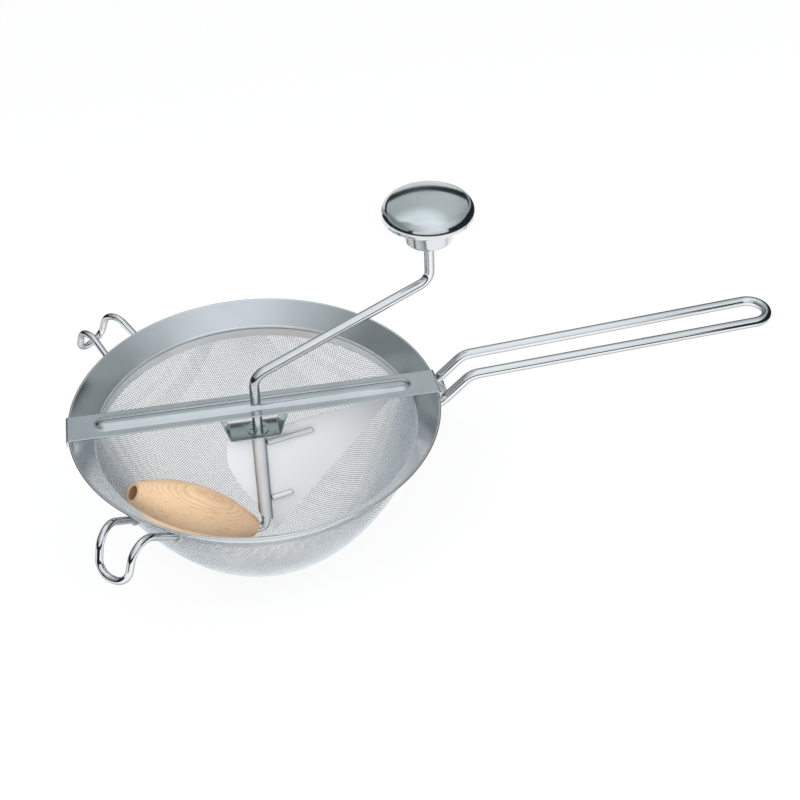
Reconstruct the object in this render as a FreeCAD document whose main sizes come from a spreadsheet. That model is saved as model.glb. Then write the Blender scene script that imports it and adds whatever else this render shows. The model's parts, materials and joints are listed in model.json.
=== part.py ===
"""Hand-cranked tomato strainer: a mesh bowl in a steel collar, and a crank that drags a blade and a roller.

The frame has +Z up, its origin at the centre of the rim's upper edge, and +X along the crossbar towards
the handle. Lengths are in millimetres and angles in degrees.
"""
import FreeCAD, Part

import math
import os

import Sketcher
from FreeCAD import Placement, Rotation, Vector

SIZES = {
    # collar
    "rim_radius": (100.0, "outside of the rolled rim"),
    "bead_radius": (0.8, "half the thickness of the rolled rim"),
    "sheet": (0.5, "collar sheet"),
    "wall_radius": (87.3, "middle of the collar's upright wall"),
    "wall_bottom": (18.3, "depth of the wall's lower edge"),
    "flange_slope": (42.3, "fall of the flange from the horizontal"),
    # clamp band
    "band_top": (12.3, "depth of the band's upper edge"),
    "band_bottom": (13.9, "depth of the band's lower edge"),
    # mesh bowl
    "mesh": (0.8, "thickness of the woven mesh"),
    "bowl_depth": (98.3, "depth of the bowl's outside"),
    "grid_columns": (24, "openings round the bowl"),
    "grid_opening": (10.5, "turn of each of them, degrees"),
    "hub_columns": (12, "openings round the bowl's lowest row"),
    "hub_opening": (20, "turn of each of them, degrees"),
    "hub_row": (7, "where the lowest row starts, degrees from the bottom"),
    "ball_row": (16.2, "pitch of the rows in the round bottom, degrees"),
    "ball_row_open": (11.8, "opening in each of them, degrees"),
    "side_row": (15.2, "pitch in height of the rows in the sides"),
    "side_row_open": (10.6, "opening in each of them"),
    "side_row_top": (21.5, "depth of the highest opening's upper edge"),
    "ball_radius": (77.8, "outside radius of the round bottom"),
    "ball_turn": (53.7, "angle over which the round bottom reaches"),
    # crossbar
    "bar_width": (20.0, "crossbar strap"),
    "bar_sheet": (0.8, "strap thickness"),
    "rib_length": (170.0, "raised rib, end to end"),
    "rib_width": (10.4, "raised rib at its foot"),
    "rib_height": (2.0, "raised rib above the strap"),
    "rib_side": (38, "slope of the rib's sides from the vertical, degrees"),
    "rib_inset": (0.4, "how much smaller the hollow under the rib is"),
    "lip_drop": (3.1, "depth of the hooked ends"),
    "tab_width": (10.0, "thumb tab"),
    "tab_reach": (4.4, "thumb tab, beyond the hooked end"),
    "tab_drop": (4.9, "depth of the thumb tab's underside"),
    # bearing bracket
    "bracket_drop": (17.3, "depth of the bracket floor's underside"),
    "bracket_floor": (13.6, "half the length of the floor"),
    "bracket_spread": (18.3, "half the spread of the legs under the strap"),
    "bracket_depth": (15.0, "bracket strip width"),
    "bracket_foot": (7.0, "length of the feet under the crossbar"),
    "star_radius": (6.0, "outside of the star washer on the shaft"),
    "star_sheet": (0.6, "its thickness"),
    "star_slots": (6, "its locking slots"),
    "slot_reach": (4.3, "shaft's middle to a slot's end"),
    "slot_half": (0.45, "half the width of a slot"),
    "bracket_shift": (-1.9, "bracket's middle, off the shaft"),
    # wires and fits
    "rod": (5.5, "diameter of the crank rod and of the handle wire"),
    "hook_wire": (3.9, "diameter of the rest hooks"),
    "running": (0.06, "radial play of a running fit"),
    "snug": (0.02, "radial play of a tight fit"),
    # crank, in its own upright plane
    "crank_turn": (12.0, "turn of the crank's plane from the crossbar"),
    "arm_rise": (19.6, "height at which the arm's line meets the shaft"),
    "arm_slope": (18.4, "rise of the arm"),
    "arm_bend": (9.0, "bend from the shaft into the arm"),
    "grip_reach": (102.6, "shaft to the knob's rod"),
    "grip_bend": (8.0, "bend from the arm into the knob's rod"),
    "grip_lean": (2.5, "lean of the knob's rod towards the shaft"),
    "grip_rod": (50.5, "length of the knob's rod above its bend"),
    "foot_depth": (96.2, "depth at which the roller's line meets the shaft"),
    "foot_bend": (4.5, "bend from the shaft into the roller's rod"),
    "foot_slope": (39.2, "rise of the roller's rod"),
    # roller, along its rod from the foot
    "roller_start": (11.0, "lower end"),
    "roller_length": (83.0, "end to end"),
    "roller_widest": (45.0, "lower end to the widest place"),
    "roller_radius": (14.4, "at the widest place"),
    "roller_end": (5.8, "radius of the end faces"),
    "recess_radius": (3.95, "counterbore for the end nut"),
    "recess_depth": (7.0, "counterbore for the end nut"),
    "rod_beyond": (3.2, "roller's rod above the recess's floor"),
    "end_nut_radius": (3.75, "outside of the nut on the roller's rod"),
    "end_nut_length": (2.4, "length of that nut"),
    "foot_washer_radius": (4.6, "outside of the washer under the roller"),
    "foot_washer_sheet": (0.6, "its thickness"),
    # blade
    "sleeve_radius": (4.0, "outside of the rolled sleeve"),
    "sleeve_top": (17.7, "depth of the sleeve's upper end"),
    "sleeve_bottom": (78.0, "depth of the sleeve's lower end"),
    "blade_sheet": (0.8, "blade thickness"),
    "scraper_heel": (1.2, "rise of the long wing's lowest edge to the shaft"),
    "scraper_corner": (1.0, "how far the long wing's upper corner is cut back"),
    "scraper_cut": (1.6, "height of that cut"),
    "blade_top": (19.0, "depth of the blade's upper edge"),
    "blade_reach": (80.9, "shaft to the blade's outer corner"),
    "tip_reach": (5.8, "shaft to the blade's lowest point"),
    "tip_depth": (96.2, "depth of the blade's lowest point"),
    "sleeve_slant": (8.5, "how much lower the sleeve ends on the blade's side"),
    "wing_top": (17.4, "short wing's upper edge, from the shaft"),
    "wing_reach": (18.6, "short wing's widest place, from the shaft"),
    "wing_waist": (38.0, "depth of the short wing's widest place"),
    "wing_bottom": (72.0, "depth of the short wing's lower end"),
    "wing_upper_curve": (60.0, "radius of the short wing's outer edge"),
    "wing_lower_curve": (140.0, "radius of the short wing's lower edge"),
    "pin": (3.0, "diameter of the stirring pins"),
    "upper_pin_depth": (26.6, "depth of the upper pin"),
    "upper_pin_reach": (31.3, "shaft to the upper pin's tip"),
    "lower_pin_depth": (68.9, "depth of the lower pin"),
    "lower_pin_reach": (16.8, "shaft to the lower pin's tip"),
    # handle
    "handle_end": (290.0, "shaft to the loop's outermost centreline"),
    "handle_half": (10.0, "half the spacing of the wires at the loop"),
    "handle_neck": (9.0, "half the spacing of the wires at the collar"),
    "handle_slope": (4.0, "rise of the handle"),
    "handle_bend": (117.0, "shaft to the bend"),
    "handle_lift": (9.01, "height of the bend"),
    "neck_slope": (45.4, "fall of the wires from the bend to the knee"),
    "handle_knee": (103.0, "shaft to the knee under the rim"),
    "handle_foot": (91.6, "shaft to the wires' ends"),
    "handle_depth": (13.0, "depth of the wires' ends"),
    "handle_knee_bend": (8.0, "bend of the wires at the knee"),
    "handle_neck_bend": (11.0, "bend of the wires at the neck"),
    "handle_weld": (3.1, "radius of the weld on each end"),
    # rest hooks
    "hook_turn": (48.5, "half the angle between the hooks, about -X"),
    "hook_shift": (1.6, "turn of both hooks together"),
    "hook_foot": (92.9, "shaft to the legs' ends"),
    "hook_depth": (10.3, "depth of the legs' ends"),
    "hook_half": (12.5, "half the spacing of the legs' ends"),
    "hook_slope": (40.0, "rise of the legs along the flange"),
    "hook_leg": (33.2, "length of the rising legs up to the crest's corner"),
    "crest_half": (10.1, "half the spacing at the crest"),
    "hook_crest": (9.6, "bend over the crest"),
    "hook_fall": (21.0, "lean of the falling legs from the vertical"),
    "hook_drop": (26.7, "length of the falling legs"),
    "tip_half": (8.6, "half the spacing at the loop's tip"),
    "hook_tip": (8.5, "bend at the loop's tip"),
    "hook_weld": (3.07, "radius of the weld on each leg"),
    # knob
    "knob_radius": (24.5, "outside of the domed cap"),
    "knob_base": (41.2, "height of the cap's edge above the rod's bend"),
    "knob_band": (2.6, "height of the cap's upright edge"),
    "knob_shoulder": (4.0, "rounding of the cap's shoulder"),
    "dome_radius": (58.0, "radius of the cap's crown"),
    "knob_sheet": (0.7, "cap and cup sheet"),
    "cup_radius": (14.0, "outside of the cup"),
    "cup_base": (25.8, "height of the cup's floor above the rod's bend"),
    "cup_draft": (0.9, "how much narrower the cup is at its floor"),
    "cup_corner": (2.2, "rounding of the cup's floor"),
    "bush_height": (12.0, "top of the bush above the cup's floor"),
    "bush_radius": (4.4, "outside of the bush"),
    "bush_flange": (6.0, "radius of the bush's flange"),
    "bush_foot": (1.5, "top of the bush's flange above the cup's floor sheet"),
    "push_nut_radius": (5.2, "outside of the push nut above the bush"),
    "push_nut_sheet": (0.8, "its thickness"),
    "knob_lip": (2.2, "width of the lip rolled in under the cup's flange"),
    "cup_hole": (0.8, "clearance of the cup's hole round the rod"),
}

doc = FreeCAD.newDocument("tomato_strainer")
sheet = doc.addObject("Spreadsheet::Sheet", "sizes")
for row, (alias, (number, note)) in enumerate(SIZES.items(), start=1):
    sheet.set(f"A{row}", alias)
    sheet.set(f"B{row}", str(number))
    sheet.set(f"C{row}", note)
    sheet.setAlias(f"B{row}", alias)
doc.recompute()


class Size:
    """A number that also knows the expression over the sheet that gives it."""

    def __init__(self, value, text):
        self.value = value
        self.text = text

    def __add__(self, other):
        other = as_size(other)
        return Size(self.value + other.value, f"({self.text} + {other.text})")

    def __sub__(self, other):
        other = as_size(other)
        return Size(self.value - other.value, f"({self.text} - {other.text})")

    def __mul__(self, other):
        other = as_size(other)
        return Size(self.value * other.value, f"{self.text} * {other.text}")

    def __truediv__(self, other):
        other = as_size(other)
        return Size(self.value / other.value, f"{self.text} / {other.text}")

    def __neg__(self):
        return Size(-self.value, f"(0 - {self.text})")


def as_size(number):
    """Return a plain number as a Size."""
    return number if isinstance(number, Size) else Size(float(number), f"{number:g}")


def size(alias):
    """Return one cell of the sheet."""
    return Size(float(getattr(sheet, alias)), f"sizes.{alias}")


def value(alias):
    """Return one cell of the sheet as a plain number."""
    return float(getattr(sheet, alias))


def sine(angle):
    return Size(math.sin(math.radians(angle.value)), f"sin({angle.text})")


def cosine(angle):
    return Size(math.cos(math.radians(angle.value)), f"cos({angle.text})")


def tangent(angle):
    return Size(math.tan(math.radians(angle.value)), f"tan({angle.text})")


def bind(thing, name, amount):
    """Drive a property from the sheet."""
    thing.setExpression(name, amount.text)


# --------------------------------------------------------------------------------------------------
# sketches and features
# --------------------------------------------------------------------------------------------------

PARTS = []


def keep(thing):
    """Count a finished object as one sub-part."""
    PARTS.append(thing)
    return thing


def new_body(label):
    return keep(doc.addObject("PartDesign::Body", label))


def new_sketch(body, name, role="XZ_Plane"):
    """Start a sketch on one of the body's own planes."""
    sketch = body.newObject("Sketcher::SketchObject", f"{body.Name}_{name}")
    plane = next(feature for feature in body.Origin.OriginFeatures if feature.Role == role)
    sketch.AttachmentSupport = [(plane, "")]
    sketch.MapMode = "FlatFace"
    return sketch


def drive(sketch, constraint, amount):
    """Add a constraint and bind it to the sheet."""
    index = sketch.addConstraint(constraint)
    if isinstance(amount, Size) and "sizes." in amount.text:
        sketch.setExpression(f"Constraints[{index}]", amount.text)


def fix_point(sketch, edge, end, point):
    """Hold one end of an edge at a point given by two sizes."""
    for kind, axis, amount in (("DistanceX", -2, point[0]), ("DistanceY", -1, point[1])):
        amount = as_size(amount)
        if amount.value == 0:
            sketch.addConstraint(Sketcher.Constraint("PointOnObject", edge, end, axis))
        else:
            drive(sketch, Sketcher.Constraint(kind, -1, 1, edge, end, amount.value), amount)


def flat(point):
    """Return a pair of sizes as a vector in the sketch's plane."""
    return Vector(as_size(point[0]).value, as_size(point[1]).value, 0)


def arc_between(start, end, radius, left):
    """Return an arc that leaves its chord on the left or the right side, and whether it runs clockwise."""
    chord = end - start
    normal = Vector(-chord.y, chord.x, 0).normalize()
    height = math.sqrt(max(radius * radius - chord.Length ** 2 / 4, 0))
    centre = (start + end) / 2 + normal * (-height if left else height)
    circle = Part.Circle(centre, Vector(0, 0, 1), radius)
    first, last = (end, start) if left else (start, end)
    angles = [math.atan2(point.y - centre.y, point.x - centre.x) for point in (first, last)]
    return Part.ArcOfCircle(circle, angles[0], angles[1]), left


def outline(sketch, points, arcs=None):
    """Draw a closed outline. arcs gives the radius of the edge after a point, and whether it bulges left."""
    arcs = arcs or {}
    ends = []
    for index, point in enumerate(points):
        start = flat(point)
        end = flat(points[(index + 1) % len(points)])
        if index in arcs:
            radius, left = arcs[index]
            arc, clockwise = arc_between(start, end, radius.value, left)
            edge = sketch.addGeometry(arc)
            if 2 * radius.value - (end - start).Length > 1e-6:
                drive(sketch, Sketcher.Constraint("Radius", edge, radius.value), radius)
            else:
                drive(sketch, Sketcher.Constraint("DistanceX", -1, 1, edge, 3, start.x), point[0])
            ends.append((edge, 2, 1) if clockwise else (edge, 1, 2))
        else:
            edge = sketch.addGeometry(Part.LineSegment(start, end))
            ends.append((edge, 1, 2))
    for index, (edge, start, end) in enumerate(ends):
        after = ends[(index + 1) % len(ends)]
        sketch.addConstraint(Sketcher.Constraint("Coincident", edge, end, after[0], after[1]))
        fix_point(sketch, edge, start, points[index])


def circle(sketch, centre, radius):
    edge = sketch.addGeometry(Part.Circle(flat(centre), Vector(0, 0, 1), radius.value))
    drive(sketch, Sketcher.Constraint("Radius", edge, radius.value), radius)
    fix_point(sketch, edge, 3, centre)


def revolve(body, sketch):
    """Turn a sketch once round its own upright axis."""
    feature = body.newObject("PartDesign::Revolution", f"{sketch.Name}_turned")
    feature.Profile = sketch
    feature.ReferenceAxis = (sketch, ["V_Axis"])
    feature.Angle = 360
    return feature


def pad(body, sketch, length, both_ways=False):
    feature = body.newObject("PartDesign::Pad", f"{sketch.Name}_pad")
    feature.Profile = sketch
    bind(feature, "Length", length)
    feature.SideType = "Symmetric" if both_ways else "One side"
    return feature


def pocket_through(body, sketch):
    """Cut a sketch out of the body, all the way both ways."""
    feature = body.newObject("PartDesign::Pocket", f"{sketch.Name}_cut")
    feature.Profile = sketch
    feature.Type = "ThroughAll"
    feature.SideType = "Symmetric"
    return feature


def turned_body(label, points, arcs=None):
    """Make a body that is one outline turned round the Z axis."""
    body = new_body(label)
    sketch = new_sketch(body, "section")
    outline(sketch, points, arcs)
    revolve(body, sketch)
    return body


def washer(label, bore, outside, bottom, thickness):
    """Make a flat ring round the Z axis."""
    return turned_body(label, [(bore, bottom), (outside, bottom), (outside, bottom + thickness),
                               (bore, bottom + thickness)])


def rounded_wire(corners, radii):
    """Return a wire of straight runs joined by tangent arcs. radii has one entry for each inner corner."""
    edges = []
    start = corners[0]
    for before, corner, after, radius in zip(corners, corners[1:], corners[2:], radii):
        inward = (before - corner).normalize()
        outward = (after - corner).normalize()
        half = inward.getAngle(outward) / 2
        cut = radius / math.tan(half)
        centre = corner + (inward + outward).normalize() * (radius / math.sin(half))
        first = corner + inward * cut
        last = corner + outward * cut
        middle = centre + (corner - centre).normalize() * radius
        edges.append(Part.LineSegment(start, first).toShape())
        edges.append(Part.Arc(first, middle, last).toShape())
        start = last
    edges.append(Part.LineSegment(start, corners[-1]).toShape())
    return Part.Wire(edges)


def bent_wire(label, corners, radii, diameter):
    """Make a round wire along a bent path in space."""
    path = rounded_wire(corners, radii)
    heading = corners[1] - corners[0]
    ring = Part.Wire(Part.makeCircle(diameter / 2, corners[0], heading))
    thing = keep(doc.addObject("Part::Feature", label))
    thing.Shape = path.makePipeShell([ring], True, False)
    straight_volume = math.pi * diameter ** 2 / 4 * path.Length
    print(f"{label}: path {path.Length:.1f} mm, volume over section times length "
          f"{thing.Shape.Volume / straight_volume:.4f}")
    return thing


# --------------------------------------------------------------------------------------------------
# collar, band and mesh
# --------------------------------------------------------------------------------------------------

slope = size("flange_slope")
bead = size("bead_radius")
bead_middle = size("rim_radius") - bead
wall_inside = size("wall_radius") - size("sheet") / 2
wall_outside = size("wall_radius") + size("sheet") / 2


def flange_height(radius, side):
    """Return the height of the flange's face at a radius: side +1 is the upper face, -1 the lower one."""
    middle = -bead - (bead_middle - radius) * tangent(slope)
    return middle + size("sheet") / 2 / cosine(slope) * side


def make_collar():
    """Rolled rim, sloping flange and upright wall in one piece."""
    body = new_body("rim_collar")
    section = new_sketch(body, "sheet_section")
    outline(section, [
        (bead_middle, flange_height(bead_middle, 1)),
        (wall_inside, flange_height(wall_inside, 1)),
        (wall_inside, -size("wall_bottom")),
        (wall_outside, -size("wall_bottom")),
        (wall_outside, flange_height(wall_outside, -1)),
        (bead_middle, flange_height(bead_middle, -1)),
    ])
    revolve(body, section)
    roll = new_sketch(body, "rim_section")
    circle(roll, (bead_middle, -bead), bead)
    revolve(body, roll)


mesh_inside = wall_outside + size("snug")
mesh_outside = mesh_inside + size("mesh")


def make_band():
    """Ring that clamps the mesh's edge to the wall."""
    inside = mesh_outside + size("snug")
    outside = inside + size("sheet")
    return turned_body("clamp_band", [
        (inside, -size("band_bottom")),
        (outside, -size("band_bottom")),
        (outside, -size("band_top")),
        (inside, -size("band_top")),
    ])


def bowl_points(wall, ball):
    """Return the top, the waist above the round bottom and the lowest point of one face of the bowl."""
    turn = size("ball_turn")
    middle = size("ball_radius") - size("bowl_depth")
    top = (wall, -size("wall_bottom") - size("snug"))
    waist = (ball * sine(turn), middle - ball * cosine(turn))
    return top, waist, (as_size(0), middle - ball)


def side_radius(top, waist):
    """Return the radius of the arc that leaves the round bottom smoothly and reaches the wall."""
    turn = size("ball_turn")
    across = top[0] - waist[0]
    rise = top[1] - waist[1]
    reach = across * across + rise * rise
    return reach / (cosine(turn) * rise - sine(turn) * across) / 2


def ball_row(start):
    """Return the corners of a cut through the round bottom, from a turn off its lowest point."""
    stop = start + size("ball_row_open")
    middle = size("ball_radius") - size("bowl_depth")
    outer = size("ball_radius") + size("mesh")
    inner = size("ball_radius") - size("mesh") * 2
    return [(reach * sine(turn), middle - reach * cosine(turn))
            for reach, turn in ((inner, start), (outer, start), (outer, stop), (inner, stop))]


def side_row(top):
    """Return the corners of a level cut through the side, from the depth of its upper edge."""
    bottom = top + size("side_row_open")
    inner = size("ball_radius") * sine(size("ball_turn")) - size("mesh") * 4
    outer = mesh_outside + size("mesh")
    return [(inner, -bottom), (outer, -bottom), (outer, -top), (inner, -top)]


def cut_openings(body, name, rows, columns, turn):
    """Cut rows of openings in a turned body, the same number round it in each row."""
    sketch = new_sketch(body, name)
    for row in rows:
        outline(sketch, row)
    groove = body.newObject("PartDesign::Groove", f"{sketch.Name}_cut")
    groove.Profile = sketch
    groove.ReferenceAxis = (sketch, ["V_Axis"])
    groove.Midplane = True
    bind(groove, "Angle", turn)
    pattern = body.newObject("PartDesign::PolarPattern", f"{sketch.Name}_round")
    pattern.Originals = [groove]
    pattern.Axis = (sketch, ["V_Axis"])
    pattern.Angle = 360
    bind(pattern, "Occurrences", columns)
    body.Tip = pattern


def make_mesh():
    """Woven bowl as a thin shell: an upright edge, curved sides and a round bottom, with a coarse grid."""
    outer_top, outer_waist, outer_low = bowl_points(mesh_outside, size("ball_radius"))
    inner_top, inner_waist, inner_low = bowl_points(mesh_inside, size("ball_radius") - size("mesh"))
    edge_top = -size("band_top") - size("snug")
    body = turned_body(
        "mesh_bowl",
        [outer_low, outer_waist, outer_top, (mesh_outside, edge_top), (mesh_inside, edge_top), inner_top,
         inner_waist, inner_low],
        {0: (size("ball_radius"), False), 1: (side_radius(outer_top, outer_waist), False),
         5: (side_radius(inner_top, inner_waist), True), 6: (size("ball_radius") - size("mesh"), True)},
    )
    hub = size("hub_row")
    cut_openings(body, "hub_openings", [ball_row(hub)], size("hub_columns"), size("hub_opening"))
    rows = [ball_row(hub + size("ball_row") * count) for count in (1, 2)]
    rows += [side_row(size("side_row_top") + size("side_row") * count) for count in (0, 1, 2)]
    cut_openings(body, "grid_openings", rows, size("grid_columns"), size("grid_opening"))
    return body


# --------------------------------------------------------------------------------------------------
# crossbar and bearing bracket
# --------------------------------------------------------------------------------------------------

bar_under = size("snug") * 2
bar_top = bar_under + size("bar_sheet")


def make_crossbar():
    """Pressed strap across the rim: raised rib, ends hooked over the rim and a thumb tab."""
    body = new_body("crossbar")
    grip = size("bead_radius") + bar_under
    skin = grip + size("bar_sheet")
    drop = -size("lip_drop")
    sweep = new_sketch(body, "strap")
    lip_out = bead_middle + skin
    lip_in = bead_middle + grip
    outline(
        sweep,
        [(-bead_middle, bar_under), (bead_middle, bar_under), (lip_in, -bead), (lip_in, drop),
         (lip_out, drop), (lip_out, -bead), (bead_middle, bar_top), (-bead_middle, bar_top),
         (-lip_out, -bead), (-lip_out, drop), (-lip_in, drop), (-lip_in, -bead)],
        {1: (grip, True), 5: (skin, False), 7: (skin, False), 11: (grip, True)},
    )
    pad(body, sweep, size("bar_width"), both_ways=True)
    make_rib(body)
    tab = new_sketch(body, "tab")
    tab_bottom = -size("tab_drop")
    tab_top = tab_bottom + size("bar_sheet")
    tab_end = lip_out + size("tab_reach")
    outline(tab, [(lip_in, drop), (lip_in, tab_bottom), (tab_end, tab_bottom), (tab_end, tab_top),
                  (lip_out, tab_top), (lip_out, drop)])
    pad(body, tab, size("tab_width"), both_ways=True)
    hole = new_sketch(body, "shaft_hole", "XY_Plane")
    circle(hole, (0, 0), size("rod") / 2 + size("running"))
    pocket_through(body, hole)
    return body


def slot_outline(sketch, length, width):
    """Draw a slot with round ends, centred on the origin."""
    ends = (length - width) / 2
    half = width / 2
    outline(sketch, [(-ends, -half), (ends, -half), (ends, half), (-ends, half)],
            {1: (half, False), 3: (half, False)})


def make_rib(body):
    """Press a rib with sloping sides and rounded ends up out of the strap, hollow underneath."""
    rib = new_sketch(body, "rib", "XY_Plane")
    bind(rib, "AttachmentOffset.Base.z", bar_top)
    slot_outline(rib, size("rib_length"), size("rib_width"))
    raised = pad(body, rib, size("rib_height"))
    bind(raised, "TaperAngle", -size("rib_side"))
    hollow = new_sketch(body, "rib_hollow", "XY_Plane")
    slot_outline(hollow, size("rib_length") - size("rib_inset"), size("rib_width") - size("rib_inset"))
    cut = body.newObject("PartDesign::Pocket", "crossbar_rib_hollow_cut")
    cut.Profile = hollow
    cut.Reversed = True
    bind(cut, "Length", bar_under + size("rib_height"))
    bind(cut, "TaperAngle", -size("rib_side"))


def make_bracket():
    """Bent strip under the crossbar whose floor is the shaft's lower bearing."""
    body = new_body("bearing_bracket")
    strip = size("bar_sheet")
    floor = -size("bracket_drop")
    bend = size("bracket_floor")
    top = bar_under - size("snug")
    spread = size("bracket_spread")
    foot = spread + size("bracket_foot")
    section = new_sketch(body, "strip")
    half = [(bend, floor), (spread, top - strip), (foot, top - strip), (foot, top), (spread - strip, top),
            (bend - strip, floor + strip)]
    middle = size("bracket_shift")
    right = [(middle + reach, height) for reach, height in half]
    left = [(middle - reach, height) for reach, height in reversed(half)]
    outline(section, right + left)
    pad(body, section, size("bracket_depth"), both_ways=True)
    hole = new_sketch(body, "shaft_hole", "XY_Plane")
    circle(hole, (0, 0), size("rod") / 2 + size("running"))
    pocket_through(body, hole)
    return body


# --------------------------------------------------------------------------------------------------
# handle and rest hooks
# --------------------------------------------------------------------------------------------------

def handle_side():
    """Return the corners of one side of the handle's wire, from its end under the rim to the loop."""
    bend = value("handle_bend")
    end = value("handle_end")
    knee = value("handle_knee")
    lift = value("handle_lift")
    knee_height = lift - (bend - knee) * math.tan(math.radians(value("neck_slope")))
    end_height = lift + (end - bend) * math.tan(math.radians(value("handle_slope")))
    return [Vector(value("handle_foot"), value("handle_neck"), -value("handle_depth")),
            Vector(knee, value("handle_neck"), knee_height),
            Vector(bend, value("handle_neck"), lift),
            Vector(end, value("handle_half"), end_height)]


def both_sides(side):
    """Return a wire's corners along one side and back along the other."""
    return side + [Vector(point.x, -point.y, point.z) for point in reversed(side)]


def make_handle():
    """One wire bent into a long loop, with both ends brought in under the rim."""
    loop = value("handle_half") - 0.15
    knee = value("handle_knee_bend")
    neck = value("handle_neck_bend")
    bends = [knee, neck, loop, loop, neck, knee]
    return bent_wire("handle_loop", both_sides(handle_side()), bends, value("rod"))


def hook_direction(side):
    """Return the direction of one hook round the rim: side +1 is the front one, -1 the back one."""
    return 180 + value("hook_shift") + side * value("hook_turn")


def hook_side():
    """Return the corners of one leg of a hook, before it is turned to its place round the rim."""
    rise = math.radians(value("hook_slope"))
    fall = math.radians(value("hook_fall"))
    foot = Vector(value("hook_foot"), 0, -value("hook_depth"))
    crest = foot + Vector(math.cos(rise), 0, math.sin(rise)) * value("hook_leg")
    tip = crest + Vector(math.sin(fall), 0, -math.cos(fall)) * value("hook_drop")
    return [foot + Vector(0, value("hook_half"), 0), crest + Vector(0, value("crest_half"), 0),
            tip + Vector(0, value("tip_half"), 0)]


def hook_turn(side):
    """Return the turn that brings one hook to its place round the rim."""
    return Rotation(Vector(0, 0, 1), hook_direction(side))


def make_hook(label, side):
    """Wire loop that rises from under the flange, crests outside the rim and hangs down to rest on a pot."""
    bends = [value("hook_crest"), value("hook_tip"), value("hook_tip"), value("hook_crest")]
    hook = bent_wire(label, both_sides(hook_side()), bends, value("hook_wire"))
    hook.Placement = Placement(Vector(), hook_turn(side))
    return hook


def wire_ends(side, turn):
    """Return both ends of a bent wire, each with the direction in which it points."""
    corners = [turn.multVec(corner) for corner in both_sides(side)]
    return [(corners[0], (corners[0] - corners[1]).normalize()),
            (corners[-1], (corners[-1] - corners[-2]).normalize())]


def make_welds(label, ends, radius):
    """Weld beads: half a ball on each end of a wire, filling the corner under the flange."""
    beads = []
    for number, (end, heading) in enumerate(ends, start=1):
        bead_ball = doc.addObject("Part::Sphere", f"{label}_{number}")
        bind(bead_ball, "Radius", radius)
        bead_ball.Angle1 = 0
        bead_ball.Angle2 = 90
        bead_ball.Placement = Placement(end + heading * value("snug"), Rotation(Vector(0, 0, 1), heading))
        beads.append(bead_ball)
    group = keep(doc.addObject("Part::Compound", label))
    group.Links = beads
    return group


# --------------------------------------------------------------------------------------------------
# crank
# --------------------------------------------------------------------------------------------------

crank_frame = Placement(Vector(), Rotation(Vector(0, 0, 1), value("crank_turn")))
grip_corner = Vector(value("grip_reach"), 0,
                     value("arm_rise") + value("grip_reach") * math.tan(math.radians(value("arm_slope"))))
grip_frame = crank_frame * Placement(grip_corner, Rotation(Vector(0, 1, 0), -value("grip_lean")))
foot_corner = Vector(0, 0, -value("foot_depth"))
foot_frame = crank_frame * Placement(foot_corner, Rotation(Vector(0, 1, 0), value("foot_slope") - 90))


def path_sketch(body, name, corners, radii):
    """Draw an open path of straight runs and tangent arcs whose corners and radii are driven by the sheet."""
    sketch = new_sketch(body, name)
    points = [flat(corner) for corner in corners]
    rounded = rounded_wire(points, [radius.value for radius in radii]).Edges
    lines = []
    arcs = []
    for index, edge in enumerate(rounded):
        ends = [vertex.Point for vertex in edge.Vertexes]
        if index % 2 == 0:
            lines.append(sketch.addGeometry(Part.LineSegment(ends[0], ends[1])))
        else:
            middle = edge.valueAt((edge.FirstParameter + edge.LastParameter) / 2)
            arcs.append(sketch.addGeometry(Part.Arc(ends[0], middle, ends[1])))
    for index, arc in enumerate(arcs):
        before = lines[index]
        after = lines[index + 1]
        start = sketch.getPoint(before, 2)
        first = 1 if sketch.getPoint(arc, 1).distanceToPoint(start) < 1e-6 else 2
        sketch.addConstraint(Sketcher.Constraint("Tangent", before, 2, arc, first))
        sketch.addConstraint(Sketcher.Constraint("Tangent", arc, 3 - first, after, 1))
        drive(sketch, Sketcher.Constraint("Radius", arc, radii[index].value), radii[index])
        corner = sketch.addGeometry(Part.Point(points[index + 1]), True)
        fix_point(sketch, corner, 1, corners[index + 1])
        sketch.addConstraint(Sketcher.Constraint("PointOnObject", corner, 1, before))
        sketch.addConstraint(Sketcher.Constraint("PointOnObject", corner, 1, after))
    fix_point(sketch, lines[0], 1, corners[0])
    fix_point(sketch, lines[-1], 2, corners[-1])
    return sketch


def make_crank_rod():
    """One rod bent four times: knob's rod, arm, shaft and the roller's rod."""
    body = new_body("crank_rod")
    grip = size("grip_reach")
    corner = size("arm_rise") + grip * tangent(size("arm_slope"))
    roller_end = size("roller_start") + size("roller_length") - size("recess_depth") + size("rod_beyond")
    lean_angle = size("grip_lean")
    slope_angle = size("foot_slope")
    tip = (grip - size("grip_rod") * sine(lean_angle), corner + size("grip_rod") * cosine(lean_angle))
    end = (-roller_end * cosine(slope_angle), roller_end * sine(slope_angle) - size("foot_depth"))
    corners = [tip, (grip, corner), (0, size("arm_rise")), (0, -size("foot_depth")), end]
    path = path_sketch(body, "path", corners, [size("grip_bend"), size("arm_bend"), size("foot_bend")])
    ring = body.newObject("Sketcher::SketchObject", "crank_rod_ring")
    doc.recompute()
    ring.Placement = Placement(
        Vector(tip[0].value, 0, tip[1].value), Rotation(Vector(0, 1, 0), -lean_angle.value))
    circle(ring, (0, 0), size("rod") / 2)
    pipe = body.newObject("PartDesign::AdditivePipe", "crank_rod_pipe")
    pipe.Profile = ring
    pipe.Spine = path
    body.Placement = crank_frame
    return body


def rod_ring(label, frame, bore, outside, bottom, thickness):
    """Make a ring on the crank's rod and set it in one of the crank's frames."""
    ring = washer(label, bore, outside, bottom, thickness)
    ring.Placement = frame
    return ring


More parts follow.
